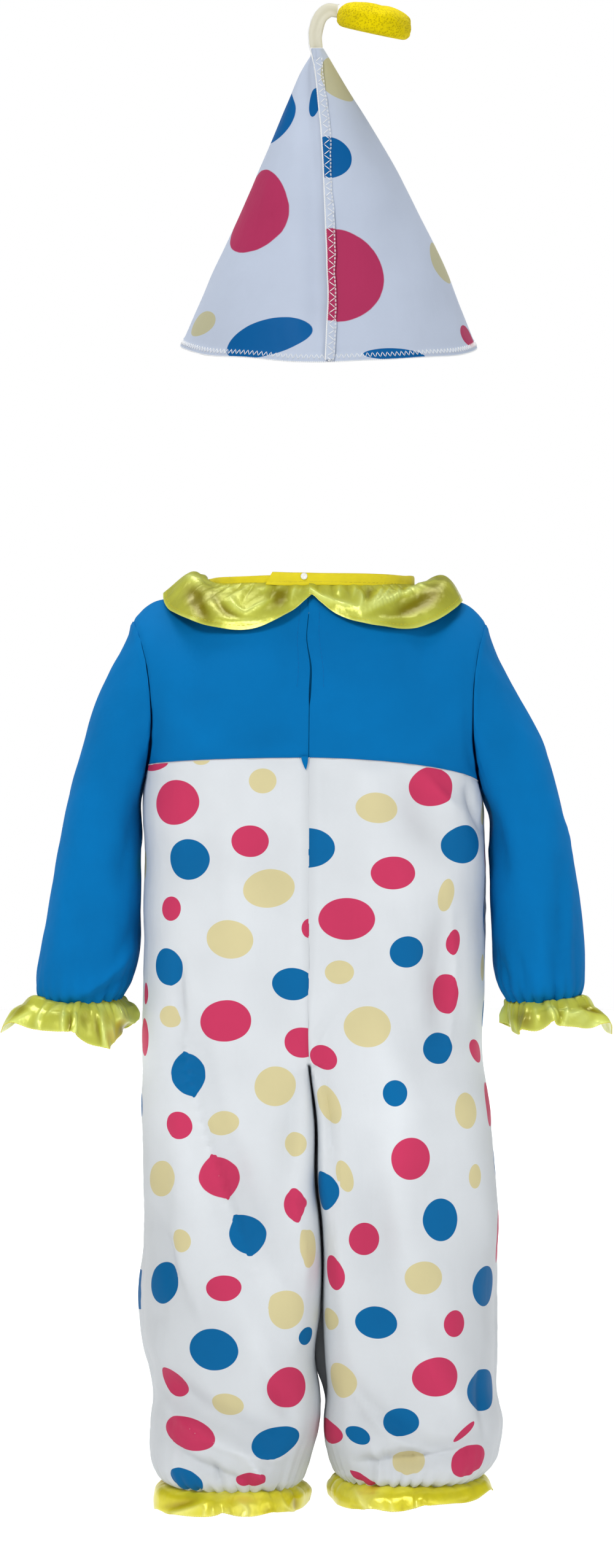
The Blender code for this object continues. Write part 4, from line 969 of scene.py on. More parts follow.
legCreases = {
    back: creaseTable(
        (-79, -220, -61, -306, -30, -378, 3.4, 1.3, 0.6, 1.4, 6.5),
        (-75.6, -198, -76.5, -225, -75, -252, 4, -1.4, 0.3, 1.4),
        (-92, -446, -62, -478, -14, -484, 5, 1.7, -0.3, 1.3),
        (-88, -470, -66, -490, -40, -495, 4, -1.5, 0.2, 1.3),
        (-32, -426, -20, -452, -6, -464, 5, -1.5, 0.2, 1.4),
        (-5, -262, -14, -290, -15, -332, 6, -1.6, 0.3, 1.5),
        (-45, -376, -31, -418, -24, -450, 9, 1.4, 0, 2),
        (-86, -300, -83, -350, -90, -402, 8, -1.3, 0.2, 2),
        (89.6, -96, 94, -108, 99, -123, 3.2, -1.7, 0.4, 1.2),
        (81, -170, 85, -205, 80, -246, 4, 1.5, 0.4, 1.3, 1.5),
        (6, -262, 12, -290, 12, -336, 6, -1.6, 0.3, 1.5),
        (20, -438, 36, -470, 74, -482, 4.5, 1.8, 0.3, 1.3),
        (20, -487, 50, -486, 92, -478, 3.5, -1.9, 0.2, 1.2), (58, -400, 68, -440, 96, -462, 8, 1.5, 0, 2),
        (101, -428, 96, -455, 104, -476, 4, -1.4, 0, 1.3),
        (42, -236, 54, -300, 50, -362, 12, 1.3, 0.1, 2), (66, -92, 74, -104, 88, -112, 4, 1.1, 0.3, 1.4),
        (-40, -478, -28, -492, -26, -500, 3.6, 1.6, 0.3, 1.3),
        (-58, -484, -54, -494, -50, -502, 3.2, -1.4, 0.3, 1.3),
        (34, -474, 40, -490, 38, -500, 3.4, 1.5, 0.3, 1.3),
        (-11, -316, -10, -346, 0, -382, 3, 0.8, 0.3, 1.4, 3),
    ),
    front: creaseTable(
        (-62, -214, -55, -270, -33, -332, 5, 1.5, 0.4, 1.3, 4),
        (70, -200, 60, -258, 40, -324, 5.5, 1.3, 0.3, 1.4),
        (-90, -446, -58, -474, -10, -480, 5, 1.8, -0.3, 1.3),
        (18, -474, 50, -478, 98, -452, 5, 1.7, 0.2, 1.3),
        (-5, -262, -16, -288, -20, -330, 6, -1.8, 0.3, 1.5),
        (6, -262, 16, -286, 18, -330, 6, -1.8, 0.3, 1.5),
        (-80, -110, -76, -140, -80, -176, 7, -1.5, 0.2, 1.6),
        (82, -112, 78, -142, 84, -180, 6, -1.4, 0.2, 1.6),
        (-70, -360, -64, -400, -72, -440, 9, 1.4, 0, 2), (74, -350, 66, -398, 76, -444, 10, 1.3, 0, 2),
        (-44, -482, -38, -494, -36, -501, 3.4, 1.6, 0.3, 1.3),
        (60, -478, 64, -492, 62, -500, 3.6, 1.6, 0.3, 1.3),
    ),
}


def listDots(**printed):
    # The print by its ink: place across and down on the chart, width, height and any tilt.
    return [(ink, *row, *[0] * (5 - len(row))) for ink, rows in printed.items() for row in rows]


leftDots = listDots(
    crimson=[(-221, 295, 70, 74), (-100, 358, 61, 52), (-228, 468, 31, 40), (-139, 651, 79, 68),
        (-15, 686, 58, 50, -10), (-4, 500, 24, 32), (-261, 231, 40, 26), (-267, 606, 12, 36),
        (-267, 677, 22, 62), (-212, 820, 33, 46, 20), (-149, 905, 92, 80, 10), (-27, 951, 46, 57),
        (-143, 1086, 55, 42), (-233, 1241, 42, 44, -20), (-38, 1248, 64, 68), (-204, 1323, 87, 53, -10),
        (-99, 1398, 47, 27, 15)],
    blue=[(-201, 388, 64, 67), (-234, 563, 45, 62), (-31, 591, 68, 54), (-275, 788, 18, 40),
        (-200, 738, 73, 77, 12), (-108, 999, 76, 73, 8), (-251, 1078, 42, 68), (-160, 1187, 82, 68, -8),
        (-56, 1338, 79, 50, 14), (-204, 1400, 49, 34, -20), (-8, 1164, 22, 30)],
    yellow=[(-79, 260, 45, 41), (-69, 435, 85, 63, 8), (-133, 518, 78, 63, -5), (-231, 644, 31, 36),
        (-180, 224, 30, 20), (-273, 397, 14, 46), (-144, 818, 42, 39), (-58, 757, 67, 66),
        (-26, 852, 37, 40), (-247, 908, 43, 57, 18), (-213, 1009, 33, 38), (-7, 1021, 31, 66, 6),
        (-43, 1120, 59, 65), (-137, 1276, 55, 36, -8)],
)
rightDots = listDots(
    crimson=[(197, 269, 71, 64), (133, 410, 73, 54), (58, 485, 93, 69), (236, 523, 23, 43, -12),
        (227, 608, 41, 65, 8), (290, 390, 12, 46), (20, 711, 48, 38, -38), (268, 700, 24, 32, -30),
        (285, 787, 20, 73), (162, 875, 64, 70), (86, 1007, 49, 53), (37, 1061, 30, 58, 15),
        (304, 1002, 16, 88), (234, 1144, 37, 44), (202, 1230, 75, 65, 5), (27, 1318, 44, 40),
        (252, 1321, 42, 14, 40), (262, 1370, 58, 50, 15), (85, 1399, 44, 13, -30)],
    blue=[(-6, 369, 90, 65), (249, 363, 62, 62, 8), (157, 539, 57, 52), (211, 696, 51, 51),
        (289, 480, 14, 60), (279, 639, 12, 44), (136, 767, 40, 43), (18, 927, 22, 64),
        (299, 882, 10, 44), (212, 975, 59, 70, 5), (288, 1083, 34, 66), (106, 1142, 69, 52, -8),
        (285, 1252, 44, 66), (146, 1305, 60, 47), (74, 1327, 40, 28, -20)],
    yellow=[(107, 304, 70, 50, -4), (220, 446, 27, 54, -10), (46, 572, 48, 39), (91, 660, 77, 67),
        (279, 312, 14, 40), (279, 564, 12, 44), (28, 788, 34, 66, 22), (251, 797, 32, 59),
        (265, 904, 19, 40), (54, 904, 26, 54, 18), (183, 1069, 62, 54), (29, 1136, 20, 36),
        (47, 1236, 38, 58, 15), (158, 1374, 58, 40, 5)],
)


def trouserPlace(side, face, u, z):
    # One place on the trousers: u runs from the centre seam or inseam to the side seam. The
    # seat is one squared tube and the legs are two, flat where they touch and round outside.
    cut = trouserCut
    column = "back" if face == back else "front"
    inner = yokeCut["centreX"] + side * yokeCut["seamGap"] / 2
    outer = readAt(torsoRows, "left" if side == left else "right", z)
    squareness = yokeCut["torsoRoundness"]
    x = mix(inner, outer, rounded(np.sin(math.pi / 2 * u), squareness))
    y = face * readAt(torsoRows, column, z) * rounded(np.cos(math.pi / 2 * u), squareness)
    legOuter, legInner = readAt(legRows[side], "outer", z), readAt(legRows[side], "inner", z)
    middle = (legInner + readAt(legRows[-side], "inner", z)) / 2
    joined = smooth((z - cut["seatEnd"]) / cut["seatBlend"])
    legInner = mix(legInner, middle + side * yokeCut["seamGap"] / 2, joined)
    square = readAt(innerRoundness, "roundness", z)
    parted = smooth((cut["seamEnd"] - z) / cut["partedBy"])
    if face == front:
        # The front's inner walls lean together, so that no light shows between the legs.
        closing = smooth(u / 0.05) * smooth((z - cut["frontEnd"]) / cut["frontBlend"]) * parted
        legInner = mix(legInner, middle + cut["frontShift"] + side * cut["frontGap"] / 2, closing)
    turn, bulge = np.cos(math.pi * u), np.sin(math.pi * u)
    stretch = (np.abs(turn) ** square + bulge ** square) ** (-1 / square)
    turn = np.where(u < 0.5, turn * stretch, rounded(turn, cut["legRoundness"]))
    bulge = np.where(u < 0.5, mix(1.0, bulge * stretch, parted), rounded(bulge, cut["legRoundness"]))
    ringX = (legOuter + legInner) / 2 - (legOuter - legInner) / 2 * turn
    ringY = face * readAt(legRows[side], column, z) * bulge
    share = smooth((cut["hipStart"] - z) / (cut["hipStart"] - cut["thighEnd"]))
    share = mix(share, 1.0, (1 - u) ** 24 * parted)
    return places(mix(x, ringX, share), mix(y, ringY, share), z)


def gathers(run, gap, spacing, depth, reach, seed):
    # Rounded puckers with narrow valleys, drawn in at a gather line and fading away from it.
    phase = run / spacing + 0.5 * wander(run, 0, spacing * 3, seed)
    reach = reach * (1 + 0.65 * wander(run, 0, spacing * 1.3, seed + 1))
    size = depth * (1 + 0.4 * wander(run, 5, spacing * 2, seed + 2))
    return size * (np.abs(np.sin(math.pi * phase)) ** 0.8 - 0.6) * np.exp(-gap / np.maximum(reach, 1.0))


def makeTrouserPanel(side, face, name, nodeName, dots, seed):
    cut = trouserCut
    # The rows of the solid, and the closer ones here, counted between them.
    turns = np.radians(np.linspace(0, 90, 6)[1:])
    known = [*np.linspace(torsoRows["height"][-1], cut["crotchStart"], 6),
             *(cut["crotchStart"] + (cut["crotchHeight"] - cut["crotchStart"]) * np.sin(turns)),
             *np.linspace(cut["crotchHeight"], cut["blouseStart"], 11)[1:], -485, -495, -501, -504]
    heights = np.array(known[:1])
    for end, count in cut["rowRuns"]:
        heights = np.concatenate([heights, np.linspace(heights[-1], end, count)[1:]])
    rows = np.interp(-heights, -np.array(known), np.arange(len(known)))[:, None]
    column = np.linspace(0, 10, cut["stepsAcross"] + 1)
    cornerShare = yokeCut["cornerTurn"] / (math.pi / 2)
    u = np.where(column <= 8, cornerShare * column / 8, mix(cornerShare, 1.0, (column - 8) / 2))
    seam = yokeSeamPlace(side, face, np.clip(column / 8, 0, 1))
    under = mix(yokeCut["armholeCorner"], -math.pi / 2, np.clip((column - 8) / 2, 0, 1))
    top = np.where((column <= 8)[:, None], seam, armholePlace(side, face, under))
    top[:, 2] -= yokeCut["seamGap"]
    top[0, 0] += side * yokeCut["seamGap"] / 2
    z = heights[:, None] + (top[:, 2] - heights[0]) * np.clip(1 - rows / 5, 0, 1)
    offset = top - trouserPlace(side, face, u, top[:, 2])
    grid = trouserPlace(side, face, u, z) + offset * np.clip(1 - rows / 3, 0, 1)[..., None]
    lowest = legRows[side]["height"][0]
    squeeze = np.clip((z - cut["blouseStart"]) / (lowest - cut["blouseStart"]), 0, None)
    grid[..., 2] = z + (cut["bottoms"][side] - lowest) * squeeze
    core = grid * (0, 0, 1) + np.array([side * 50.0, 0, 0])
    normals = gridNormals(grid, core, False)
    x, flat = grid[..., 0], grid[..., 2]
    crease, moved = creaseHeight(legCreases[face], x, flat)
    lift = 1.9 * creaseHeight(mainFolds[face], x, flat) + 2.9 * crease
    slantX, slantZ = 0.86 * x + 0.4 * flat, 0.55 * flat - 0.45 * x
    lift += (2.0 * wander(slantX + face * 40, slantZ, 34, seed)
             + 0.8 * wander(slantX, slantZ + face * 30, 15, seed + 1))
    between = smooth((-side * normals[..., 0] - 0.35) / 0.4)
    calm = smooth(edgeGap(grid, allEdges) / 9) * (1 - between)
    lift *= calm
    printed = grid + moved * calm[..., None]
    prints = printer(placeDots(grid, normals, dots, face, printed))
    gap = edgeGap(grid, ["bottom"])
    run = arcLengths(grid, 1)[-4][None] + np.zeros_like(gap)
    lift += gathers(run, gap, cut["gatherSpacing"], cut["gatherDepth"], cut["gatherReach"], seed + 5)
    # Painted light and shade: shade in the folds, darker down the legs and along the middle seam, lighter at
    # the hips' sides and darker at the legs' sides.
    tones = 0.5 + 0.06 * lift - 0.3 * smooth((-250 - flat) / 200)
    tones = tones - 0.35 * np.exp(-(arcLengths(grid, 1) / 0.9) ** 2)
    tones += mix(0.4, -0.5, smooth((-240 - flat) / 50)) * smooth((u[None] - 0.76) / 0.2)
    tones = np.clip(tones, 0, 1)
    grid = grid + normals * lift[..., None]
    if face == front:
        grid[..., 1] += yokeCut["seamGap"]
    grid = stitchedEdges(grid, normals, ["top", "first", "last"], pucker=0.35, seed=seed + 9)
    grid[:, 0, 0] -= side * 0.3
    normals = gridNormals(grid, core, False)
    piece = wallPiece(name, grid, normals, cut["wall"], False, [dottedCloth, dottedInside], prints, tones,
                      printed)
    return dress(piece, nodeName)


trousers = {  # The solid: its side and face, the yoke above it, its print and its seed.
    "trouser_back_left": (left, back, "back_yoke_left", leftDots, 31),
    "trouser_back_right": (right, back, "back_yoke_right", rightDots, 47),
    "trouser_front_left": (left, front, "front_yoke", mirrorDots(rightDots, 6, 10), 63),
    "trouser_front_right": (right, front, "front_yoke", mirrorDots(leftDots, -4, 14), 79),
}
for nodeName, (side, face, yoke, dots, seed) in trousers.items():
    name = "trouser" + nodeName[len("trouser"):].title().replace("_", "")
    panel = makeTrouserPanel(side, face, name, nodeName, dots, seed)
print("trousers made")


sleeveCut = {"gap": 0.4, "stepsRound": 128, "stepsAlong": 96, "wall": 0.7,
             "gatherSpacing": 6.6, "gatherDepth": 2.4, "gatherReach": 12.0}
sleeveCreases = {
    back: creaseTable(
        (-105, -204, -115, -214, -130, -222, 3.2, -1.8, 0.3, 1.3),
        (-103, -190, -114, -206, -134, -218, 3.6, 1.6, 0.4, 1.4),
        (-104, -176, -109, -194, -122, -208, 4.5, -1.4, 0.3, 1.5),
        (-139, -136, -144, -168, -147, -198, 7, 1.2, 0, 2),
        (-98, -100, -105, -118, -109, -150, 5, -1.7, 0.3, 1.5),
        (-128, -84, -134, -108, -132, -140, 9, 1.1, 0, 2),
        (149, -122, 152, -168, 148, -220, 4, 1.5, 0.3, 1.4),
        (143, -150, 146, -190, 141, -222, 3.4, -1.4, 0.3, 1.3),
        (120, -194, 123, -208, 125, -222, 3, -1.6, 0.3, 1.3),
        (131, -166, 135, -196, 133, -220, 4, 1.3, 0.2, 1.5),
        (106, -188, 110, -204, 117, -216, 3.4, -1.5, 0.3, 1.4),
        (102, -104, 110, -122, 112, -152, 5, -1.6, 0.3, 1.5),
        (132, -92, 138, -112, 136, -142, 9, 1.1, 0, 2),
    ),
    front: creaseTable(
        (-100, -104, -108, -122, -122, -128, 5, -2, 0.3, 1.5),
        (-104, -128, -114, -142, -132, -146, 5, 1.8, 0.3, 1.5),
        (-106, -180, -118, -200, -138, -210, 4, -1.6, 0.3, 1.4),
        (102, -110, 112, -124, 126, -128, 5, -2, 0.3, 1.5),
        (106, -134, 118, -146, 136, -148, 5, 1.7, 0.3, 1.5),
        (112, -186, 124, -202, 142, -212, 4, -1.5, 0.3, 1.4),
    ),
}


def sleevePlace(side, along, angle):
    # Round each section from under the arm: up the back, over the top and down the front.
    rows = sleeveRows[side]
    up = (1 + rounded(np.sin(angle), yokeCut["armholeRoundness"])) / 2
    across = rounded(np.cos(angle), yokeCut["armholeRoundness"])
    x = mix(readAt(rows, "innerX", along), readAt(rows, "outerX", along), up)
    z = mix(readAt(rows, "innerZ", along), readAt(rows, "outerZ", along), up)
    x = x - side * readAt(rows, "bow", along) * across ** 2
    return places(x, -readAt(rows, "halfDepth", along) * across, z)


def makeSleeve(side, name, nodeName, seed):
    cut = sleeveCut
    angles = -math.pi / 2 + 2 * math.pi * np.arange(cut["stepsRound"]) / cut["stepsRound"]
    along = np.linspace(0, 1, cut["stepsAlong"] + 1)[:, None]
    grid = sleevePlace(side, along, angles[None])
    grid[..., 0] += side * cut["gap"] * (1 - along) ** 4
    core = grid.mean(axis=1, keepdims=True)
    normals = gridNormals(grid, core, True)
    x, z = grid[..., 0], grid[..., 2]
    toBack = smooth((np.cos(angles)[None] + 0.15) / 0.4)
    lift = 1.4 * creaseHeight(sleeveCreases[back], x, z) * toBack
    lift += 1.4 * creaseHeight(sleeveCreases[front], x, z) * (1 - toBack)
    lift += (1.1 * wander(x + grid[..., 1], z * 0.7, 26, seed)
             + 0.35 * wander(x, z + grid[..., 1], 12, seed + 1))
    lift *= smooth(edgeGap(grid, ["top", "bottom"]) / 9)
    run = arcLengths(grid, 1)[-3][None] + np.zeros_like(x)
    lift += gathers(run, edgeGap(grid, ["bottom"]), cut["gatherSpacing"], cut["gatherDepth"],
                    cut["gatherReach"], seed + 5)
    grid = stitchedEdges(grid + normals * lift[..., None], normals, ["top"], pucker=0.4, seed=seed + 9)
    normals = gridNormals(grid, core, True)
    # Painted fold shade: darker in the valleys, lighter on the ridges.
    tones = np.clip(0.5 + 0.14 * lift, 0, 1)
    piece = wallPiece(name, grid, normals, cut["wall"], True, [blueCloth], tones=tones)
    return dress(piece, nodeName)


sleeveLeft = makeSleeve(left, "sleeveLeft", "sleeve_left", 101)
sleeveRight = makeSleeve(right, "sleeveRight", "sleeve_right", 117)
print("sleeves made")


collarRows = {
    left: table(
        "angle length drop puff crest",
        (0, 6, 60, 1.2, 0.50), (8, 17, 59, 1.4, 0.50), (20, 28, 56, 1.8, 0.50),
        (42, 34, 47, 2.6, 0.50), (66, 30, 28, 7, 0.34), (90, 25.5, 8, 11, 0.22),
        (120, 30, 23, 8, 0.34), (150, 33, 44, 3, 0.50), (180, 33, 50, 2.2, 0.50),
    ),
    right: table(
        "angle length drop puff crest",
        (0, 6, 60, 1.2, 0.50), (8, 15, 59, 1.4, 0.50), (20, 26, 57, 1.8, 0.50),
        (42, 33, 48, 2.6, 0.50), (66, 31, 28, 7, 0.50), (90, 28, 12, 12, 0.50),
        (120, 31, 23, 9, 0.50), (150, 33, 44, 3, 0.50), (180, 33, 50, 2.2, 0.50),
    ),
}
collarCut = {
    "opening": math.radians(-1.2), "lap": 0.8, "spread": 1.1, "lift": 0.8, "wall": 0.5,
    "stepsRound": 680, "stepsOut": 30,
    "waves": 9, "waveHeight": 1.6, "gatherSpacing": 7.4, "gatherDepth": 2.0, "gatherReach": 6.5,
    "bedded": 2.5, "rolledUp": 3.0, "rolledIn": 1.7,
}
collarCreases = creaseTable(
    (-47, 12.6, -43.6, 4.3, -37.4, 3.1, 1.5, 1.2, 0.2, 1.2),
    (-22, 11.3, -30.4, 6.6, -37.5, 3.1, 1.5, 1.3, 0.2, 1.2),
    (-57, 14, -50, 3, -42, 1, 3, -1.3, 0.2, 1.8), (-53, 20.9, -49.3, 15, -43.6, 21.5, 1.1, 1.1),
    (-37, 22, -36, 14.5, -29.2, 20.9, 1.1, 1.2), (-24.5, 20.9, -26, 18, -28, 15, 1.1, 1),
    (-8, 20.9, -9.4, 17, -11.5, 11, 1.2, 1.2), (-5, 20.2, -5.4, 18, -7, 14, 0.9, 0.9),
    (-17, 18, -18, 12, -21, 7, 4.5, -1.3, 0, 2), (-71, 19, -66, 8, -59, -1, 4.5, -1.5, 0, 2),
    (-3, 20.9, 0, 14, 10, 10.5, 1.3, 1.3, 0.1, 1.2), (8, 11.8, 16, 8, 27.4, 6, 1.4, 1.4, 0.1, 1.2),
    (27.4, 6, 30, 9, 28.1, 16, 1.2, 1.2), (16.6, 12, 13.6, 20, 20.5, 22, 1, 1.2),
    (20.5, 22, 27.6, 20, 23.5, 11.5, 1, 1.1), (41, 20, 40.5, 15, 34, 8, 1.2, 1.3),
    (46, 20, 43.5, 13.6, 36, 7, 1, 1.2), (46.4, 13, 52, 13, 50, 17.5, 1, 1),
    (61, 22, 62, 17, 66.1, 22, 1, 1), (71, 24, 57, 16, 28.8, 3.5, 2.4, 1.7, 0.4, 1.5),
    (73, 17, 62, 7, 46, 1.5, 5, -1.4, 0, 2), (33, 21, 35, 15, 31, 10, 2.4, -1, 0, 2),
    (52, 22, 55, 16, 50, 11, 2.2, -0.9, 0, 2), (-74, 27, -68, 24, -62, 23, 2, 1, 0.2, 1.4),
    (-30, -2, -40, -3.2, -55, -0.5, 1.6, 0.6, 0, 1.6), (30, -1, 45, -2, 60, 0.5, 1.6, 0.6, 0, 1.6),
)


def makeCollar():
    cut = collarCut
    angle = np.linspace(cut["opening"], 2 * math.pi - cut["opening"], cut["stepsRound"] + 1)[None]
    t = np.linspace(0, 1, cut["stepsOut"] + 1)[:, None] ** 1.2
    half = np.degrees(np.maximum(0, np.minimum(angle, 2 * math.pi - angle)))
    column = {}
    for name in ("length", "drop", "puff", "crest"):
        sides = [readAt(collarRows[side], name, half) for side in (left, right)]
        column[name] = np.where(angle < math.pi, *sides)
    start = places(-(neckline["halfWidth"] + cut["spread"]) * np.sin(angle),
                   -(neckline["halfDepth"] + cut["spread"]) * np.cos(angle),
                   neckline["height"] - 0.2 - neckline["frontDrop"] * np.maximum(0, -np.cos(angle)))
    out = places(-np.sin(angle), -np.cos(angle), 0.0)
    drop = np.radians(column["drop"])[..., None]
    upward = np.array([0, 0, 1.0])
    down = out * np.cos(drop) - upward * np.sin(drop)
    rise = out * np.sin(drop) + upward * np.cos(drop)
    run = np.radians(half) * neckline["radius"] * np.where(angle < math.pi, 1, -1) + 400
    puff = column["puff"] * np.sin(math.pi * t ** (math.log(0.5) / np.log(column["crest"])))
    wave = np.sin(cut["waves"] * angle + 0.9 * np.sin(3 * angle)) + 1
    lift = cut["lift"] + puff + wave * cut["waveHeight"] * column["length"] / 33 * t
    lift = lift + cut["lap"] * smooth((angle - 2 * math.pi + 0.07) / 0.05)
    gap = column["length"] * t
    pucker = gathers(run, gap, cut["gatherSpacing"], cut["gatherDepth"], cut["gatherReach"], 5)
    detail = (pucker + 0.9) * smooth(gap / cut["bedded"])
    smoothed = 1 - 0.85 * smooth((half - 50) / 14) * smooth((135 - half) / 14)
    fine = 0.9 * wander(run, gap, 13, 8) + 0.35 * wander(run, gap * 0.6, 6, 9)
    detail = detail * smoothed + fine * smooth(gap / 8)
    grid = start + down * gap[..., None] + rise * (lift + detail)[..., None]
    seated = (1 - smooth(gap / cut["bedded"]))[..., None]
    grid += seated * (upward * cut["rolledUp"] - out * cut["rolledIn"])
    core = grid.mean(axis=1, keepdims=True) - np.array([0, 0, 30.0])
    normals = gridNormals(grid, core, False)
    behind = backShare(angle) * smooth(gap / 4)
    crease = creaseHeight(collarCreases, grid[..., 0], grid[..., 2]) * behind
    crease += creaseHeight(collarCreases, -grid[..., 0], grid[..., 2] + 11) * smooth(gap / 4) * (1 - behind)
    grid = grid + normals * crease[..., None]
    normals = gridNormals(grid, core, False)
    # Painted light and shade: highlights on the ridges, shade in the valleys, broad uneven patches of both,
    # and a painted highlight along the hem.
    tones = 0.47 + 0.12 * wander(run, gap, 17, 15) + 0.42 * crease + 0.10 * (detail - 0.9)
    tones = np.clip(tones + 0.35 * smooth((t - 0.94) / 0.06), 0, 1)
    piece = wallPiece("collar", grid, normals, cut["wall"], False, [collarSatin], tones=tones)
    return dress(piece, "collar_frill"), grid, normals


collar, collarGrid, collarNormals = makeCollar()
collarHem = makeStitches("collarHem", [edgeLine(collarGrid[-3], collarNormals[-3], 0.06)], yellowThread,
                         "satin", spacing=2.6, length=2.0, thickness=0.26)

bandCut = {"height": 6.8, "wall": 1.5, "seat": 1.75, "lap": 2.1, "underEnd": math.radians(8),
           "overEnd": math.radians(23), "lapStart": math.radians(70), "lapTurn": math.radians(60),
           "steps": 240, "sides": 28, "roundness": 0.28, "pinch": 0.24, "groove": 0.35,
           "stitchHeight": 1.5}


def bandPlace(angle, out, up):
    # The band's line: from under the lap on the right, once round the neck, over the lap.
    share = smooth((angle - 2 * math.pi + bandCut["lapStart"]) / bandCut["lapTurn"])
    out = out + bandCut["lap"] * share
    level = neckline["height"] - neckline["frontDrop"] * np.maximum(0, -np.cos(angle))
    return places(-(neckline["halfWidth"] + out) * np.sin(angle),
                  -(neckline["halfDepth"] + out) * np.cos(angle), level + bandCut["seat"] + up)


def makeBand():
    # A folded binding: an oval section swept round the neck, with a stitch line pressed in.
    cut = bandCut
    angle = np.linspace(-cut["underEnd"], 2 * math.pi + cut["overEnd"], cut["steps"] + 1)[:, None]
    turn = np.linspace(0, 2 * math.pi, cut["sides"], endpoint=False)[None]
    run = angle * neckline["radius"]
    low = cut["pinch"] * smooth((angle - 0.2) / 0.15) * (1 - smooth((angle - 1.5) / 0.5))
    height = cut["height"] * (1 + 0.08 * wander(run, 0, 16, 3) - low + 0.05 * smooth((angle - 5.0) / 0.6))
    middle = cut["height"] * (1 - 0.8 * low) / 2 + 0.4 * wander(run, 3, 22, 4)
    up = middle + height / 2 * rounded(np.sin(turn), 1 / cut["roundness"])
    groove = cut["groove"] * np.exp(-((up - cut["stitchHeight"]) / 0.5) ** 2) * (np.cos(turn) > 0)
    out = 0.6 - cut["wall"] / 2 + cut["wall"] / 2 * rounded(np.cos(turn), 1 / cut["roundness"])
    out = out - groove + 0.2 * wander(run, up, 7, 6)
    slant = 0.035 * (up - middle) / height * 2 * smooth((angle - 6.3) / 0.2)
    grid = bandPlace(angle - slant, out, up)
    rows, columns = grid.shape[:2]
    r, c, d, quads = gridCells(rows, columns)
    around, along = arcLengths(grid, 1, True), arcLengths(grid, 0)
    u = np.stack([along[r, c], along[r + 1, c], along[r + 1, d], along[r, d]], 1)
    v = np.stack([around[r, c], around[r + 1, c], around[r + 1, c + 1], around[r, c + 1]], 1)
    cloth = np.stack([u, v], -1).reshape(-1, 2) * metres
    centres = [grid[0].mean(axis=0), grid[-1].mean(axis=0)]
    points = np.concatenate([grid.reshape(-1, 3), centres])
    caps = [[rows * columns, k, (k + 1) % columns] for k in range(columns)]
    last = (rows - 1) * columns
    caps += [[rows * columns + 1, last + (k + 1) % columns, last + k] for k in range(columns)]
    faces = quads[:, [0, 3, 2, 1]].tolist() + caps
    corners = np.concatenate([cloth, np.zeros((3 * len(caps), 2))])
    piece = addPiece("neckBand", points, faces, [yellowBinding], {"cloth": corners})
    return dress(piece, "neck_band")


band = makeBand()
bandAngles = np.linspace(-0.12, 2 * math.pi + 0.38, 300)
bandOut = places(-np.sin(bandAngles), -np.cos(bandAngles), 0.0)
bandLine = bandPlace(bandAngles, 0.45, bandCut["stitchHeight"]), bandOut
bandStitches = makeStitches("bandStitches", [bandLine], yellowThread, "binding",
                            spacing=2.9, length=2.3, thickness=0.36)

snapCut = {"x": -4.0, "radius": 2.0, "height": 1.3, "steps": 48,
           "profile": [(0.0, 0.86), (0.34, 0.88), (0.42, 0.98), (0.62, 1.0), (0.84, 0.92), (0.96, 0.74),
                       (1.0, 0.5), (1.0, 0.3), (0.9, 0.22)]}


def makeSnap():
    # A turned cap with a small dished middle.
    angle = 2 * math.pi - math.asin(snapCut["x"] / neckline["halfWidth"])
    seat = bandPlace(np.array(angle), 0.6, bandCut["height"] * 0.68)
    steps = snapCut["steps"]
    turn = 2 * math.pi * np.arange(steps) / steps
    points = []
    for radius, height in snapCut["profile"]:
        across, up = snapCut["radius"] * radius * np.cos(turn), snapCut["radius"] * radius * np.sin(turn)
        points.append(seat + places(across, -snapCut["height"] * height, up))
    points = np.concatenate(points)
    faces = []
    for k in range(len(snapCut["profile"]) - 1):
        for s in range(steps):
            i, j = k * steps + s, k * steps + (s + 1) % steps
            faces.append([i, i + steps, j + steps, j])
    last = len(points) - steps
    faces.append(list(range(last, len(points)))[::-1])
    return dress(addPiece("neckSnap", points, faces, [snapPlastic], sharp=60), "neck_snap")


makeSnap()
print("collar, band and snap made")


cuffFrills = {
    left: table(
        "angle reach drop puff",
        (0, 11, 17, 3), (50, 19, 11, 4), (90, 28, 13, 8), (140, 18, 11, 4),
        (180, 11, 15, 3), (230, 8, 18, 3), (270, 7, 14, 4), (304, 7, 20, 3), (334, 9, 27, 3),
        (360, 11, 17, 3),
    ),
    right: table(
        "angle reach drop puff",
        (0, 13, 11, 3), (50, 18, 12, 4), (90, 23, 15, 6), (140, 17, 12, 4),
        (180, 12, 12, 3), (230, 5, 16, 2), (270, 1, 13, 1), (320, 5, 18, 2), (360, 13, 11, 3),
    ),
}
ankleFrills = {
    left: table(
        "angle reach drop puff",
        (0, 12, 10.5, 3), (90, 13, 14, 7), (180, 12, 10.5, 3), (270, 6, 12, 4), (360, 12, 10.5, 3),
    ),
    right: table(
        "angle reach drop puff",
        (0, 12, 10, 3), (45, 12, 7, 3), (90, 11, 6, 3), (180, 12, 10, 3),
        (270, 6, 12, 4), (320, 10, 13, 3), (360, 12, 10, 3),
    ),
}
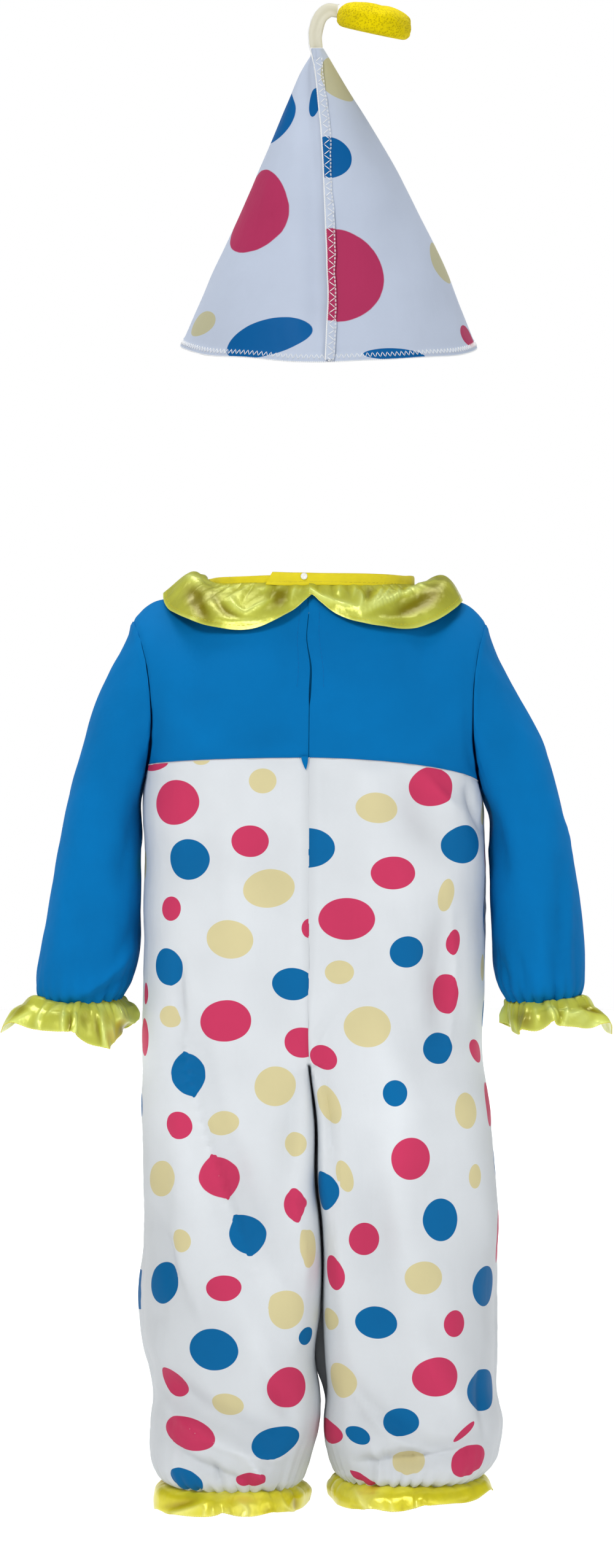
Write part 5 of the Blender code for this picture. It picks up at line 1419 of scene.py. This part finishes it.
frillCreases = {
    "cuff_frill_left": creaseTable(
        (-163, -228, -171.4, -233, -178, -237, 2.4, 1.2, 0.1, 1.5),
        (-153.4, -223, -159.1, -230.4, -158.4, -237, 1.3, 1.5, 0.2, 1.2),
        (-153.4, -229.7, -150.1, -226, -145.4, -224, 1.2, 1.1),
        (-142.9, -224, -144.7, -232.2, -142.2, -243, 1.2, 1.5),
        (-139.7, -228, -139.2, -233, -140, -239, 1.8, -1.5, 0, 1.6),
        (-136.8, -225, -136.2, -235.1, -136.8, -243, 1.1, 1.6),
        (-124.9, -229, -124, -238, -121.9, -247, 1.7, -1.3, 0, 1.5),
        (-122, -228, -120.6, -238, -118.8, -251, 1.3, 1.7, 0.2, 1.2),
        (-114.5, -224, -110.2, -227, -110.5, -233, 1.2, 1.4),
        (-111, -232, -105, -234.5, -99, -237, 1.3, 1.3, 0.1, 1.2),
        (-110.5, -236.5, -106.5, -239.5, -103, -241, 3, -1.7, 0, 2),
        (-116.5, -233, -115.5, -240, -114, -247, 1.2, 1),
        (-166, -223.5, -170, -227, -176, -232, 3.4, -1.1, 0, 2),
        (-131, -226, -131.5, -231, -129, -236, 2.4, -0.7, 0, 2),
    ),
    "cuff_frill_right": creaseTable(
        (136.8, -223, 138.8, -226.8, 140.9, -231.5, 1.1, 1.4, 0.1, 1.2),
        (138.9, -223.5, 142, -227.6, 145.2, -233, 1.1, 1.3, 0.1, 1.2),
        (117.4, -233, 119.5, -237.7, 120.8, -242, 1.3, 1.3),
        (148, -223.5, 148.3, -228.5, 146.2, -233, 1.2, 1.2),
        (147.2, -227.8, 150.6, -230.5, 157.9, -227, 1.3, 1.4),
        (156, -224.5, 164, -226.4, 171.5, -229, 1.5, -1.5, 0, 1.5),
        (158.8, -235.2, 166.1, -233.3, 173.4, -236.5, 1.8, 1.3, 0, 1.3),
        (121, -226, 124, -232, 122, -240, 6, -1.2, 0, 2),
        (129, -224, 131, -229, 130, -236, 1.5, 0.9, 0, 1.3),
        (143.5, -227, 144.5, -230, 143, -234, 1.6, -1.4, 0, 1.6),
        (161, -229, 158, -232, 152, -234, 3, 0.9, 0, 2),
    ),
    "ankle_frill_left": creaseTable(
        (-88, -519.5, -75.6, -515.4, -62, -509.5, 1.6, 1.4, 0.3, 1.3),
        (-86, -514.5, -77, -511.5, -66, -507, 2.2, -1.3, 0, 1.8),
        (-61.2, -511, -60.8, -516, -61.2, -521, 1, 1.3), (-57, -511, -56, -516, -55.4, -522, 1, 1.2),
        (-51, -511, -50.2, -517, -51, -522, 1, 1.2), (-47.6, -511, -46.8, -515, -47, -520, 0.9, 1),
        (-40.5, -508.5, -31.6, -514.4, -46.4, -521.5, 1.6, 1.6, 0.2, 1.3),
        (-17, -508.5, -13.7, -515.9, -7.5, -517.3, 1.3, 1.3, 0, 1.3),
        (-27, -510, -24, -515, -26, -520, 3.4, -1.2, 0, 2),
        (-9, -508, -8, -513, -9, -519, 1.6, -1.1, 0, 1.6),
    ),
    "ankle_frill_right": creaseTable(
        (25.5, -503.5, 31, -510.5, 36, -514, 1.4, 1.4, 0.1, 1.3),
        (40, -509, 41.6, -516, 40.5, -522, 1.1, 1.3), (45.4, -507.5, 47.2, -515.9, 46, -522, 1.1, 1.3),
        (60.2, -506.5, 62.5, -514.4, 53, -521, 1.3, 1.6, 0.1, 1.2),
        (63, -507.5, 74.2, -513, 90.6, -508, 1.6, -1.4, 0, 1.5),
        (70, -510.5, 79, -513.5, 90, -511.5, 2.4, 1.2, 0.2, 1.6),
        (86, -514, 92.2, -510.5, 104, -507.5, 1.4, 1.3, 0.2, 1.3),
        (24, -512, 29, -516, 36, -518, 2.6, -1.2, 0, 1.8),
        (52, -509, 52, -514, 50, -519, 1.4, -1.1, 0, 1.6),
    ),
}
frillCut = {
    "cuff": {"waves": 7, "waveHeight": 3.4, "gatherSpacing": 6.4, "gatherDepth": 1.6,
             "gatherReach": 5.0, "stepsRound": 400, "stepsDown": 26, "hump": 4.2, "sway": 3.0},
    "ankle": {"waves": 7, "waveHeight": 2.2, "gatherSpacing": 7.8, "gatherDepth": 1.7,
              "gatherReach": 5.0, "stepsRound": 500, "stepsDown": 24, "hump": 1.4, "sway": 3.2},
    "wall": 0.5, "radius": 30.0, "bedded": 2.0, "rolledUp": 2.4, "rolledIn": 1.8,
}


def makeFrill(name, nodeName, kind, ring, rows, side, seed):
    # Satin that flares from a gather line to a wavy hem, folded over itself where it is full.
    cut = frillCut[kind]
    angle = (2 * math.pi * np.arange(cut["stepsRound"]) / cut["stepsRound"])[None]
    t = (np.linspace(0, 1, cut["stepsDown"] + 1)[:, None]) ** 1.15
    degrees = np.degrees(angle)
    reach, drop, puff = (readAt(rows, label, degrees) for label in ("reach", "drop", "puff"))
    length = np.hypot(reach, drop)
    out = places(side * np.sin(angle), -np.cos(angle), 0.0)
    around = places(side * np.cos(angle), np.sin(angle), 0.0)
    upward = np.array([0, 0, 1.0])
    rise = (out * drop[..., None] + upward * reach[..., None]) / length[..., None]
    wave = np.sin(cut["waves"] * angle + 0.9 * np.sin(3 * angle) + 0.6 * np.sin(5 * angle + 1))
    size = cut["waveHeight"] * (0.75 + 0.25 * np.sin(4 * angle + 2))
    run = angle * frillCut["radius"]
    gap = length * t
    fine = gathers(run, gap, cut["gatherSpacing"], cut["gatherDepth"], cut["gatherReach"], seed)
    clear = smooth(gap / frillCut["bedded"])
    detail = (fine + 0.6) * clear
    detail += (1.0 * wander(run, gap * 0.7, 8, seed + 3) + 0.3 * wander(run, gap, 4, seed + 4)) * t
    lift = wave * size * t + puff * np.sin(math.pi * t) + detail
    hump = cut["hump"] * (0.5 + 0.9 * wander(run, 2, 11, seed + 6)) * np.sin(math.pi * np.clip(t / 0.4, 0, 1))
    sway = cut["sway"] * np.cos(cut["waves"] * angle + 0.9 * np.sin(3 * angle)) * t
    start = ring(angle)
    grid = start + out * (reach * t)[..., None] - upward * (drop * t)[..., None]
    grid = grid + rise * lift[..., None] + upward * hump[..., None] + around * sway[..., None]
    grid += (1 - clear)[..., None] * (upward * frillCut["rolledUp"] - out * frillCut["rolledIn"])
    core = grid.mean(axis=1, keepdims=True) - np.array([0, 0, 25.0])
    normals = gridNormals(grid, core, True)
    middleX, creases = start[..., 0].mean(), frillCreases[nodeName]
    crease = mix(creaseHeight(creases, 2 * middleX - grid[..., 0], grid[..., 2]),
                 creaseHeight(creases, grid[..., 0], grid[..., 2]), backShare(angle)) * clear
    grid = grid + normals * crease[..., None]
    normals = gridNormals(grid, core, True)
    # Painted light and shade: highlights on the ridges, shade in the valleys, uneven patches of both, and a
    # painted highlight along the hem.
    tones = 0.5 + 0.38 * crease + 0.07 * detail + 0.16 * wander(run, gap, 11, seed + 7)
    tones = np.clip(tones + 0.3 * smooth((t - 0.94) / 0.06), 0, 1)
    satin = collarSatin if kind == "cuff" else frillSatin
    piece = wallPiece(name, grid, normals, frillCut["wall"], True, [satin], tones=tones)
    dress(piece, nodeName)
    hem = makeStitches(name + "Hem", [edgeLine(grid[-1], normals[-1], -0.2, True)], yellowThread, "satin",
                       spacing=1.6, length=2.1, thickness=0.5, slant=10)
    return piece, hem


def cuffRing(side):
    rows = sleeveRows[side]
    outer = np.array([rows["outerX"][-1], 0, rows["outerZ"][-1]])
    inner = np.array([rows["innerX"][-1], 0, rows["innerZ"][-1]])

    def ring(angle):
        point = mix(inner, outer, ((1 + np.sin(angle)) / 2)[..., None])
        return point + places(0, -rows["halfDepth"][-1] * np.cos(angle), -0.5)
    return ring


def ankleRing(side):
    rows = legRows[side]

    def ring(angle):
        depth = np.where(np.cos(angle) > 0, rows["back"][0], rows["front"][0])
        x = mix(rows["inner"][0], rows["outer"][0], (1 + np.sin(angle)) / 2)
        return places(x, -depth * np.cos(angle), trouserCut["bottoms"][side] - 0.4)
    return ring


for side, word in ((left, "left"), (right, "right")):
    cuff, hem = makeFrill("cuff" + word.title(), "cuff_frill_" + word, "cuff", cuffRing(side),
                          cuffFrills[side], side, 140 + side)
    ankle, hem = makeFrill("ankle" + word.title(), "ankle_frill_" + word, "ankle", ankleRing(side),
                           ankleFrills[side], side, 160 + side)
print("frills made")


hatRows = table(
    "rise left right depth",
    (0, -86.2, 86.2, 86), (36, -70.5, 73, 70), (80, -50, 51, 49.5), (122, -31.5, 28, 29),
    (150, -20, 10.5, 15), (172, -11.8, -2.8, 5),
)
tipRows = table(
    "along x z",
    (0, -7.3, 0), (0.3, -7.4, 9), (0.6, -4.2, 18), (0.8, 0.2, 21.2), (1, 5.2, 20.8),
)
hatCut = {
    "x": 9.9, "y": 4.0, "z": 162.0, "tilt": math.radians(11.5), "stepsRound": 160, "stepsUp": 128,
    "wall": 0.9, "stripWidth": 5.4, "stripShift": -2.0, "stripWall": 1.2, "seamGap": 0.3,
    "hemFold": 3.4, "hemDepth": 0.45, "seamDip": 0.8, "hollow": 3.4, "hollowWidth": 6.5,
    "hollowPlace": 7,
}
hatDots = {
    left: listDots(
        crimson=[(-96, -668, 80, 134, -32)],
        blue=[(-50, -820, 44, 84, -25), (5, -845, 18, 48), (-74, -462, 140, 62, 12)],
        yellow=[(-179, -485, 38, 41)],
    ),
    right: listDots(
        crimson=[(39, -563, 160, 156, 10), (255, -464, 30, 36)],
        blue=[(28, -755, 74, 71), (138, -435, 103, 20)],
        yellow=[(46, -882, 44, 74, 10), (212, -584, 44, 68, 10)],
    ),
}


def hatPlace(x, depth, rise):
    # A place in the hat's own frame (depth is towards the front), leaned back and set.
    lean = hatCut["tilt"]
    return places(hatCut["x"] + x, hatCut["y"] + depth * math.cos(lean) - rise * math.sin(lean),
                  hatCut["z"] + depth * math.sin(lean) + rise * math.cos(lean))


def hatSurface(angle, rise, out=0.0):
    # Angle 0 is the centre back, 90 degrees is the wearer's right.
    hatLeft, hatRight = readAt(hatRows, "left", rise), readAt(hatRows, "right", rise)
    x = (hatLeft + hatRight) / 2 + ((hatRight - hatLeft) / 2 + out) * np.sin(angle)
    return hatPlace(x, -(readAt(hatRows, "depth", rise) + out) * np.cos(angle), rise)


def makeHatCone():
    cut = hatCut
    angle = np.linspace(0, 2 * math.pi, cut["stepsRound"] + 1)[None] + 0.004
    angle[0, -1] -= 0.008
    rise = np.linspace(0, hatRows["rise"][-1], cut["stepsUp"] + 1)[:, None]
    radius = readAt(hatRows, "depth", rise)
    aroundX, aroundY = np.sin(angle) * 60, np.cos(angle) * 60
    dents = 0.9 * wander(aroundX + 100, rise, 34, 7) + 0.35 * wander(aroundY, rise, 15, 9)
    dents = dents * np.clip(radius / 40, 0.15, 1)
    hem = cut["hemDepth"] * (smooth((cut["hemFold"] - rise) / 0.8) + 0.2) * (rise < cut["hemFold"] + 1)
    nearSeam = np.minimum(angle, 2 * math.pi - angle) * radius
    seam = 0.3 * wander(rise, 0, 6, 3) * np.exp(-nearSeam / 7)
    seam = seam - cut["seamDip"] * np.exp(-(nearSeam / 1.6) ** 2)
    beside = (2 * math.pi - angle) * radius - cut["hollowPlace"] - rise / 40
    hollow = -cut["hollow"] * np.exp(-(beside / cut["hollowWidth"]) ** 2) * smooth(rise / 25)
    grid = hatSurface(angle, rise, dents + hem + seam + hollow)
    grid[..., 2] -= 1.2 * np.clip(1 - rise / 30, 0, 1) * wander(aroundX, aroundY, 30, 13)
    core = grid.mean(axis=1, keepdims=True)
    normals = gridNormals(grid, core, False)
    low = [row for rows in hatDots.values() for row in rows if row[2] > -760 and abs(row[1]) < 150]
    rear = placeDots(grid, normals, mirrorDots(low, -20, 14), front)
    placed = {side: [np.concatenate(pair) for pair in zip(placeDots(grid, normals, rows), rear)]
              for side, rows in hatDots.items()}

    def prints(corners):
        # The print stops at the seam, so each side of it reads its own dots.
        middle = corners.mean(axis=1)
        height = (middle[:, 2] - cut["z"]) * math.cos(cut["tilt"])
        height -= (middle[:, 1] - cut["y"]) * math.sin(cut["tilt"])
        seamX = cut["x"] + (readAt(hatRows, "left", height) + readAt(hatRows, "right", height)) / 2
        return np.where((middle[:, 0] > seamX)[:, None, None], printPlaces(corners, *placed[right]),
                        printPlaces(corners, *placed[left]))

    piece = wallPiece("hatCone", grid, normals, cut["wall"], False, [hatCloth, dottedInside], prints)
    return dress(piece, "hat_cone"), grid, normals, printer(placed[right])


def makeHatSeam(prints):
    # The seam's spare cloth, pressed to the right over the join.
    cut = hatCut
    rise = np.linspace(0.6, hatRows["rise"][-1] - 6, 220)[:, None]
    share = np.linspace(0, 1, 13)[None]
    radius = np.maximum(readAt(hatRows, "depth", rise), 6.0)
    width = cut["stripWidth"] * (0.92 + 0.10 * np.sin(rise / 9) + 0.05 * wander(rise, 0, 5, 4))
    shift = cut["stripShift"] + 0.5 * wander(rise, 1, 20, 5)
    raised = cut["seamGap"] * 1.6 + cut["stripWall"] * (0.55 + 0.45 * np.sin(math.pi * share ** 0.7))
    grid = hatSurface((shift + width * share) / radius, rise, raised + 0.2 * wander(rise, share * 6, 5, 8))
    normals = gridNormals(grid, hatPlace(0.0, 0.0, 60.0), False)
    piece = wallPiece("hatSeam", grid, normals, cut["stripWall"] * 0.7, False, [hatCloth], prints)
    return dress(piece, "hat_seam"), grid, normals


hatCone, coneGrid, coneNormals, hatPrints = makeHatCone()
hatSeam, seamGrid, seamNormals = makeHatSeam(hatPrints)

tipCut = {"width": 8.0, "thickness": 3.2, "roundness": 2.6, "steps": 60, "sides": 40, "layers": 0.35,
          "fold": 0.9}


def makeTip():
    # The hat's end: a flattened roll of cloth on a bending line.
    along = np.linspace(0, 1, tipCut["steps"])
    x, z = readAt(tipRows, "x", along), readAt(tipRows, "z", along)
    ahead = unit(np.stack([np.gradient(x), np.gradient(z)], -1))
    ahead[0] = (0, 1)
    turn = 2 * math.pi * np.arange(tipCut["sides"]) / tipCut["sides"]
    across = tipCut["width"] / 2 * rounded(np.cos(turn), tipCut["roundness"])[None]
    deep = tipCut["thickness"] / 2 * rounded(np.sin(turn), tipCut["roundness"])[None]
    layer = tipCut["layers"] * np.sin(5 * turn + 2.0)[None] * np.abs(np.cos(turn))[None]
    across = across * (1 + 0.06 * wander(along * 20, 0, 4, 3))[:, None]
    fold = tipCut["fold"] * np.exp(-((across - 0.6) / 1.0) ** 2) * np.sign(np.sin(turn))[None]
    deep = deep + layer * 0.6 - fold + 0.3 * wander(along[:, None] * 26, across, 4, 5)
    grid = hatPlace(x[:, None] + across * ahead[:, 1:], deep,
                    hatRows["rise"][-1] + hatCut["seamGap"] + z[:, None] - across * ahead[:, :1])
    rows, columns = grid.shape[:2]
    r, c, d, quads = gridCells(rows, columns)
    points, faces = grid.reshape(-1, 3), cappedFaces(quads, rows, columns)
    spread = np.stack([across[0][c], across[0][d], across[0][d], across[0][c]], 1)
    length = np.stack([r, r, r + 1, r + 1], 1) * 0.45
    cloth = np.stack([spread, length], -1).reshape(-1, 2) * metres
    cloth = np.concatenate([cloth, np.zeros((2 * columns, 2))])
    shown = np.full((len(cloth), 3), noPrint)
    tones = np.full(len(points), 0.5)
    piece = addPiece("hatTip", points, faces, [tipCloth], {"cloth": cloth, "dotPlace": shown}, tones=tones)
    return dress(piece, "hat_tip"), grid[:, columns // 2], ahead


hatTip, tipEdge, tipAhead = makeTip()
tipAway = unit(places(-tipAhead[:, 1], -0.9, tipAhead[:, 0]))
rope = [np.concatenate([seamGrid[:-4, 0], tipEdge[4:]]), np.concatenate([seamNormals[:-4, 0], tipAway[4:]])]
hatStitches = {
    "hatSeamRope": ([rope], dict(spacing=1.05, length=1.9, thickness=0.75, slant=32)),
    "hatSeamLoops": ([edgeLine(seamGrid[:, 6], seamNormals[:, 6], 0.1)],
                     dict(spacing=3.2, length=5.0, thickness=0.5, slant=50, zigzag=1)),
    "hatSeamLines": ([edgeLine(seamGrid[:, k], seamNormals[:, k], 0.1) for k in (10, 11)],
                     dict(spacing=2.3, length=2.0, thickness=0.34)),
    "hatHemLoops": ([edgeLine(coneGrid[2], coneNormals[2], 0.05)],
                    dict(spacing=1.5, length=3.6, thickness=0.42, slant=65, zigzag=1)),
    "hatHemEdge": ([edgeLine(coneGrid[0], coneNormals[0], -0.2)],
                   dict(spacing=1.15, length=1.8, thickness=0.6, slant=28)),
}
hatThreads = {name: makeStitches(name, lines, whiteThread, "dotted_cloth", **sizes)
              for name, (lines, sizes) in hatStitches.items()}

foamCut = {
    "radius": 22.0, "height": 16.5, "tilt": math.radians(12), "offset": 20.1, "seat": 0.74, "steps": 120,
    "profile": table("place radius height", (0, 0.0, 0.02), (1, 0.5, 0.0), (2, 0.84, 0.0), (3, 0.97, 0.12),
                     (4, 1, 0.36), (5, 0.97, 0.6), (6, 0.86, 0.82), (7, 0.6, 0.96), (8, 0.25, 1),
                     (9, 0.0, 1.0)),
}


def makeFoamBall():
    # A foam puck: flat under, domed above, with soft dents, tilted down to the right.
    cut = foamCut
    end = readAt(tipRows, "x", 1.0), readAt(tipRows, "z", 1.0)
    centre = end[0] + cut["offset"], end[1] - cut["height"] * cut["seat"]
    turn = (2 * math.pi * np.arange(cut["steps"]) / cut["steps"])[None]
    place = np.linspace(0.03, 8.97, 60)[:, None]
    radius = cut["radius"] * readAt(cut["profile"], "radius", place)
    height = cut["height"] * readAt(cut["profile"], "height", place)
    x, depth = radius * np.cos(turn), radius * np.sin(turn)
    dent = 1 + 0.035 * wander(x + 60, depth + place * 7, 9, 2) + 0.015 * wander(x, depth + place * 9, 4, 6)
    x, depth = x * dent, depth * dent
    z = height * (1 + 0.05 * wander(x, depth, 11, 4))
    tiltedX = x * math.cos(cut["tilt"]) + z * math.sin(cut["tilt"])
    tiltedZ = z * math.cos(cut["tilt"]) - x * math.sin(cut["tilt"])
    grid = hatPlace(centre[0] + tiltedX, depth, hatRows["rise"][-1] + centre[1] + tiltedZ)
    rows, columns = grid.shape[:2]
    faces = cappedFaces(gridCells(rows, columns)[3], rows, columns)
    return dress(addPiece("hatFoam", grid.reshape(-1, 3), faces, [yellowFoam]), "hat_foam")


hatFoam = makeFoamBall()
print("hat made")


studio = {"floorHeight": -585.0, "floorSize": 13000.0, "horizon": 1.0, "overhead": 0.12, "floor": 0.88}


def makeFloor():
    half, z = studio["floorSize"] / 2, studio["floorHeight"]
    points = [(-half, -half, z), (half, -half, z), (half, half, z), (-half, half, z)]
    made, tree, shader = newFinish("paleFloor", Roughness=0.9, Specular_IOR_Level=0.1)
    mottle = addGroup(tree, mottleGroup, Size=900.0, Amount=0.01)
    grey = (studio["floor"],) * 3 + (1,)
    paint(tree, shader, shaded(tree, grey, mottle.outputs["Shade"]))
    floor = addPiece("floor", points, [(0, 1, 2, 3)], [made])


def addLight(name, place, size, power, colour, aim=(0, 0, -100), spread=180):
    # A soft round lamp at a place, turned to what it lights.
    lamp = bpy.data.lights.new(name, "AREA")
    lamp.shape, lamp.size, lamp.energy, lamp.color = "DISK", size * metres, power, colour
    lamp.spread = math.radians(spread)
    made = addObject(name, lamp)
    made.location = np.array(place) * metres
    made.rotation_euler = Vector(np.array(place, float) - aim).to_track_quat("Z", "Y").to_euler()


def makeWorld():
    # A white studio: brightest near the horizon, dimmer overhead.
    world = bpy.data.worlds.new("studio")
    world.use_nodes = True
    tree = world.node_tree
    at = node(tree, "TexCoord")
    height = node(tree, "SeparateXYZ", [(0, at.outputs["Generated"])])
    rise = node(tree, "MapRange", [(0, maths(tree, "ABSOLUTE", height.outputs[2]))],
                interpolation_type="SMOOTHSTEP", in_1=0.19, in_2=0.32, in_3=studio["horizon"],
                in_4=studio["overhead"])
    tree.links.new(rise.outputs[0], tree.nodes["Background"].inputs["Strength"])
    tree.nodes["Background"].inputs["Color"].default_value = (1, 1, 1, 1)
    bpy.context.scene.world = world


def makeCamera():
    data = bpy.data.cameras.new("camera")
    data.lens, data.sensor_width = camera["lens"], camera["film"]
    data.clip_start, data.clip_end = 0.05, 60
    made = addObject("camera", data)
    made.location = np.array([camera["x"], -camera["distance"], camera["z"]]) * metres
    made.rotation_euler = (math.pi / 2, 0, 0)
    bpy.context.scene.camera = made


makeFloor()
makeWorld()
addLight("keyLight", (-1050, -2500, 1800), 900, 47, (1.0, 0.99, 0.97))
addLight("fillLight", (2100, -3000, 900), 2000, 26, (0.97, 0.98, 1.0))
addLight("floorLight", (0, 3300, 3300), 7000, 210, (1.0, 1.0, 1.0), (0, 3300, -585), 70)
makeCamera()
bpy.context.scene.view_settings.view_transform = "Standard"
print("studio made")
